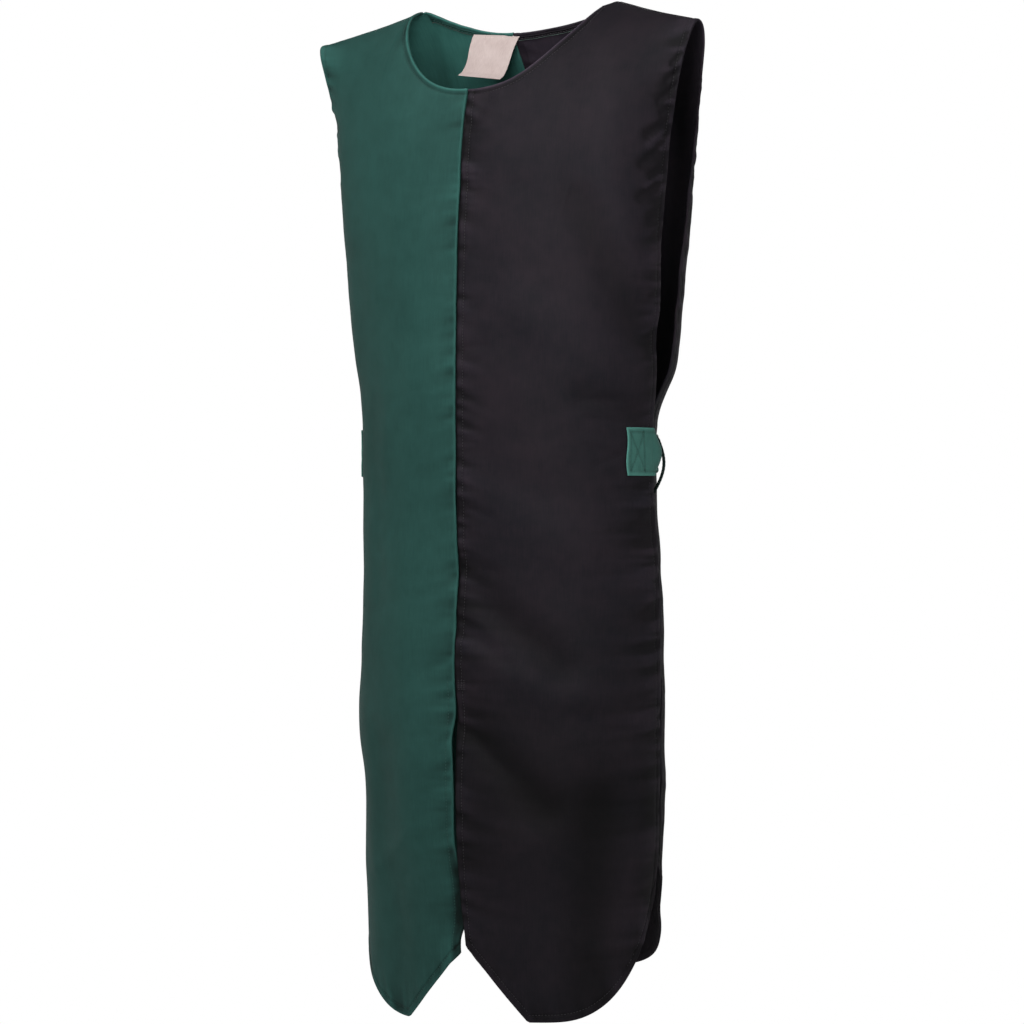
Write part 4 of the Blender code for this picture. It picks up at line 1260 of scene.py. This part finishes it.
def label_material():
    """Cream satin-woven tape: fine warp lines with a soft gloss."""
    made, tree, shader, place = new_material("cream_tape", roughness=0.55, specular=0.3, sheen=0.1)
    warp = noise_texture(tree, mapped(tree, place, Scale=(2600.0, 160.0, 1.0)), scale=1.0)
    soil = noise_texture(tree, place, scale=60.0, detail=3.0)
    shade = math_node(tree, "MULTIPLY_ADD", soil, 0.4, math_node(tree, "MULTIPLY", warp, 0.6))
    cream = colour_ramp(tree, shade, ((0.35, CREAM_DARK), (0.65, CREAM_LIGHT)))
    feed(tree, shader.inputs["Base Color"], cream)
    raised(tree, shader, warp, strength=0.25, distance=0.0002)
    return made


def thread_material(name, colour, roughness=0.6):
    """Sewing thread or cord: slightly uneven in shade, with fine fibres."""
    made, tree, shader, _ = new_material(name, roughness, specular=0.25, sheen=0.05)
    place = tree.nodes.new("ShaderNodeTexCoord").outputs["Object"]
    grain = noise_texture(tree, place, scale=900.0, detail=3.0)
    darker, lighter = (tuple(k * c for c in colour) for k in (0.65, 1.35))
    feed(tree, shader.inputs["Base Color"], colour_ramp(tree, grain, ((0.35, darker), (0.65, lighter))))
    raised(tree, shader, grain, strength=0.3, distance=0.0002)
    return made


# Camera, light and floor

def make_camera():
    data = bpy.data.cameras.new("camera")
    camera = bpy.data.objects.new("camera", data)
    bpy.context.scene.collection.objects.link(camera)
    right = (math.cos(CAMERA_AZIMUTH), math.sin(CAMERA_AZIMUTH))
    away = (-math.sin(CAMERA_AZIMUTH), math.cos(CAMERA_AZIMUTH))
    camera.location = (CAMERA_LATERAL * right[0] - CAMERA_DISTANCE * away[0],
                       CAMERA_LATERAL * right[1] - CAMERA_DISTANCE * away[1], CAMERA_HEIGHT)
    camera.rotation_euler = (math.pi / 2, 0.0, CAMERA_AZIMUTH)
    data.sensor_width = SENSOR
    data.lens = SENSOR * PIXELS_PER_METRE * CAMERA_DISTANCE / IMAGE_SIZE
    data.shift_y = (HORIZON_ROW - IMAGE_SIZE / 2) / IMAGE_SIZE
    data.clip_end = 100.0
    bpy.context.scene.camera = camera


def area_light(name, azimuth, distance, height, size, power, aim_z):
    data = bpy.data.lights.new(name, "AREA")
    data.shape = "DISK"
    data.size = size
    data.energy = power
    light = bpy.data.objects.new(name, data)
    bpy.context.scene.collection.objects.link(light)
    angle = math.radians(azimuth)
    light.location = (distance * math.sin(angle), -distance * math.cos(angle), height)
    direction = light.location.copy()
    direction.z -= aim_z
    light.rotation_euler = direction.to_track_quat("Z", "Y").to_euler()
    light.visible_camera = False


def make_world():
    """A studio that lights the cloth mostly from eye level, before a plain white backdrop."""
    world = bpy.data.worlds.new("studio")
    world.use_nodes = True
    tree = world.node_tree
    direction = tree.nodes.new("ShaderNodeTexCoord").outputs["Generated"]
    split = node(tree, "ShaderNodeSeparateXYZ", Vector=direction)
    level = math_node(tree, "MULTIPLY_ADD", split.outputs["Z"], 0.5, 0.5)
    stops = ((0.42, GLOW_BELOW), (0.45, 1.0), (0.55, 1.0), (0.58, GLOW_ABOVE))
    glow = colour_ramp(tree, level, [(at, (value,) * 3) for at, value in stops])
    seen = tree.nodes.new("ShaderNodeLightPath").outputs["Is Camera Ray"]
    shown = mixed(tree, seen, glow, (BACKDROP, BACKDROP, BACKDROP, 1.0))
    feed(tree, tree.nodes["Background"].inputs["Color"], shown)
    bpy.context.scene.world = world


def make_floor():
    """A plain pale floor, which the camera sees as more evenly lit than it is."""
    around = [2.0 * math.pi * k / FLOOR_SIDES for k in range(FLOOR_SIDES)]
    mesh = bpy.data.meshes.new("floor")
    mesh.from_pydata([(FLOOR_RADIUS * math.cos(a), FLOOR_RADIUS * math.sin(a), FLOOR_Z) for a in around], [],
                     [tuple(range(FLOOR_SIDES))])
    pale = bpy.data.materials.new("floor")
    pale.use_nodes = True
    tree = pale.node_tree
    shader = tree.nodes["Principled BSDF"]
    shader.inputs["Roughness"].default_value = 0.9
    grain = tree.nodes.new("ShaderNodeTexNoise")
    grain.inputs["Scale"].default_value = 3.0
    feed(tree, shader.inputs["Base Color"],
         colour_ramp(tree, grain.outputs["Fac"], ((0.3, (0.80, 0.80, 0.79)), (0.7, (0.84, 0.84, 0.83)))))
    seen = tree.nodes.new("ShaderNodeLightPath").outputs["Is Camera Ray"]
    lifted = tree.nodes.new("ShaderNodeMixShader")
    glow = node(tree, "ShaderNodeEmission", Strength=1.0)
    for place, value in zip(lifted.inputs, (math_node(tree, "MULTIPLY", seen, FLOOR_LIFT), shader.outputs[0],
                                            glow.outputs[0])):
        feed(tree, place, value)
    feed(tree, tree.nodes["Material Output"].inputs["Surface"], lifted.outputs[0])
    mesh.materials.append(pale)
    floor = bpy.data.objects.new("floor", mesh)
    bpy.context.scene.collection.objects.link(floor)


def make_studio():
    make_world()
    make_floor()
    for values in LIGHTS:
        area_light(*values)
    bpy.context.scene.view_settings.view_transform = "Standard"


def main():
    make_camera()
    cord = thread_material("dark_green_cord", CORD_COLOUR, 0.75)
    for name, side in (("belt_loop_left", 1.0), ("belt_loop_right", -1.0)):
        make_belt_loop(name, side, cord)
    make_studio()
    cloths = {name: twill_material(f"{name}_twill", *colours) for name, colours in CLOTHS.items()}
    threads = {name: thread_material(f"{name}_thread", colour) for name, colour in THREADS.items()}
    overlock = thread_material("overlock_thread", OVERLOCK_COLOUR, 0.7)
    halves = {(face, colour): Half(face, colour) for face in FACES for colour in HALVES}
    for (face, colour), half in halves.items():
        panel = make_panel(half, cloths[colour])
        stitches = make_panel_stitches(half, threads[colour])
    for colour in HALVES:
        make_neck_facing(halves["back", colour], cloths[colour], threads[colour], overlock)
        sides = {face: halves[face, colour] for face in FACES}
        name = "side_strap_left" if colour == "black" else "side_strap_right"
        make_strap(name, sides, colour, cloths["strap"], threads["strap"])
    make_label(label_material(), thread_material("cream_thread", CREAM_THREAD))


main()
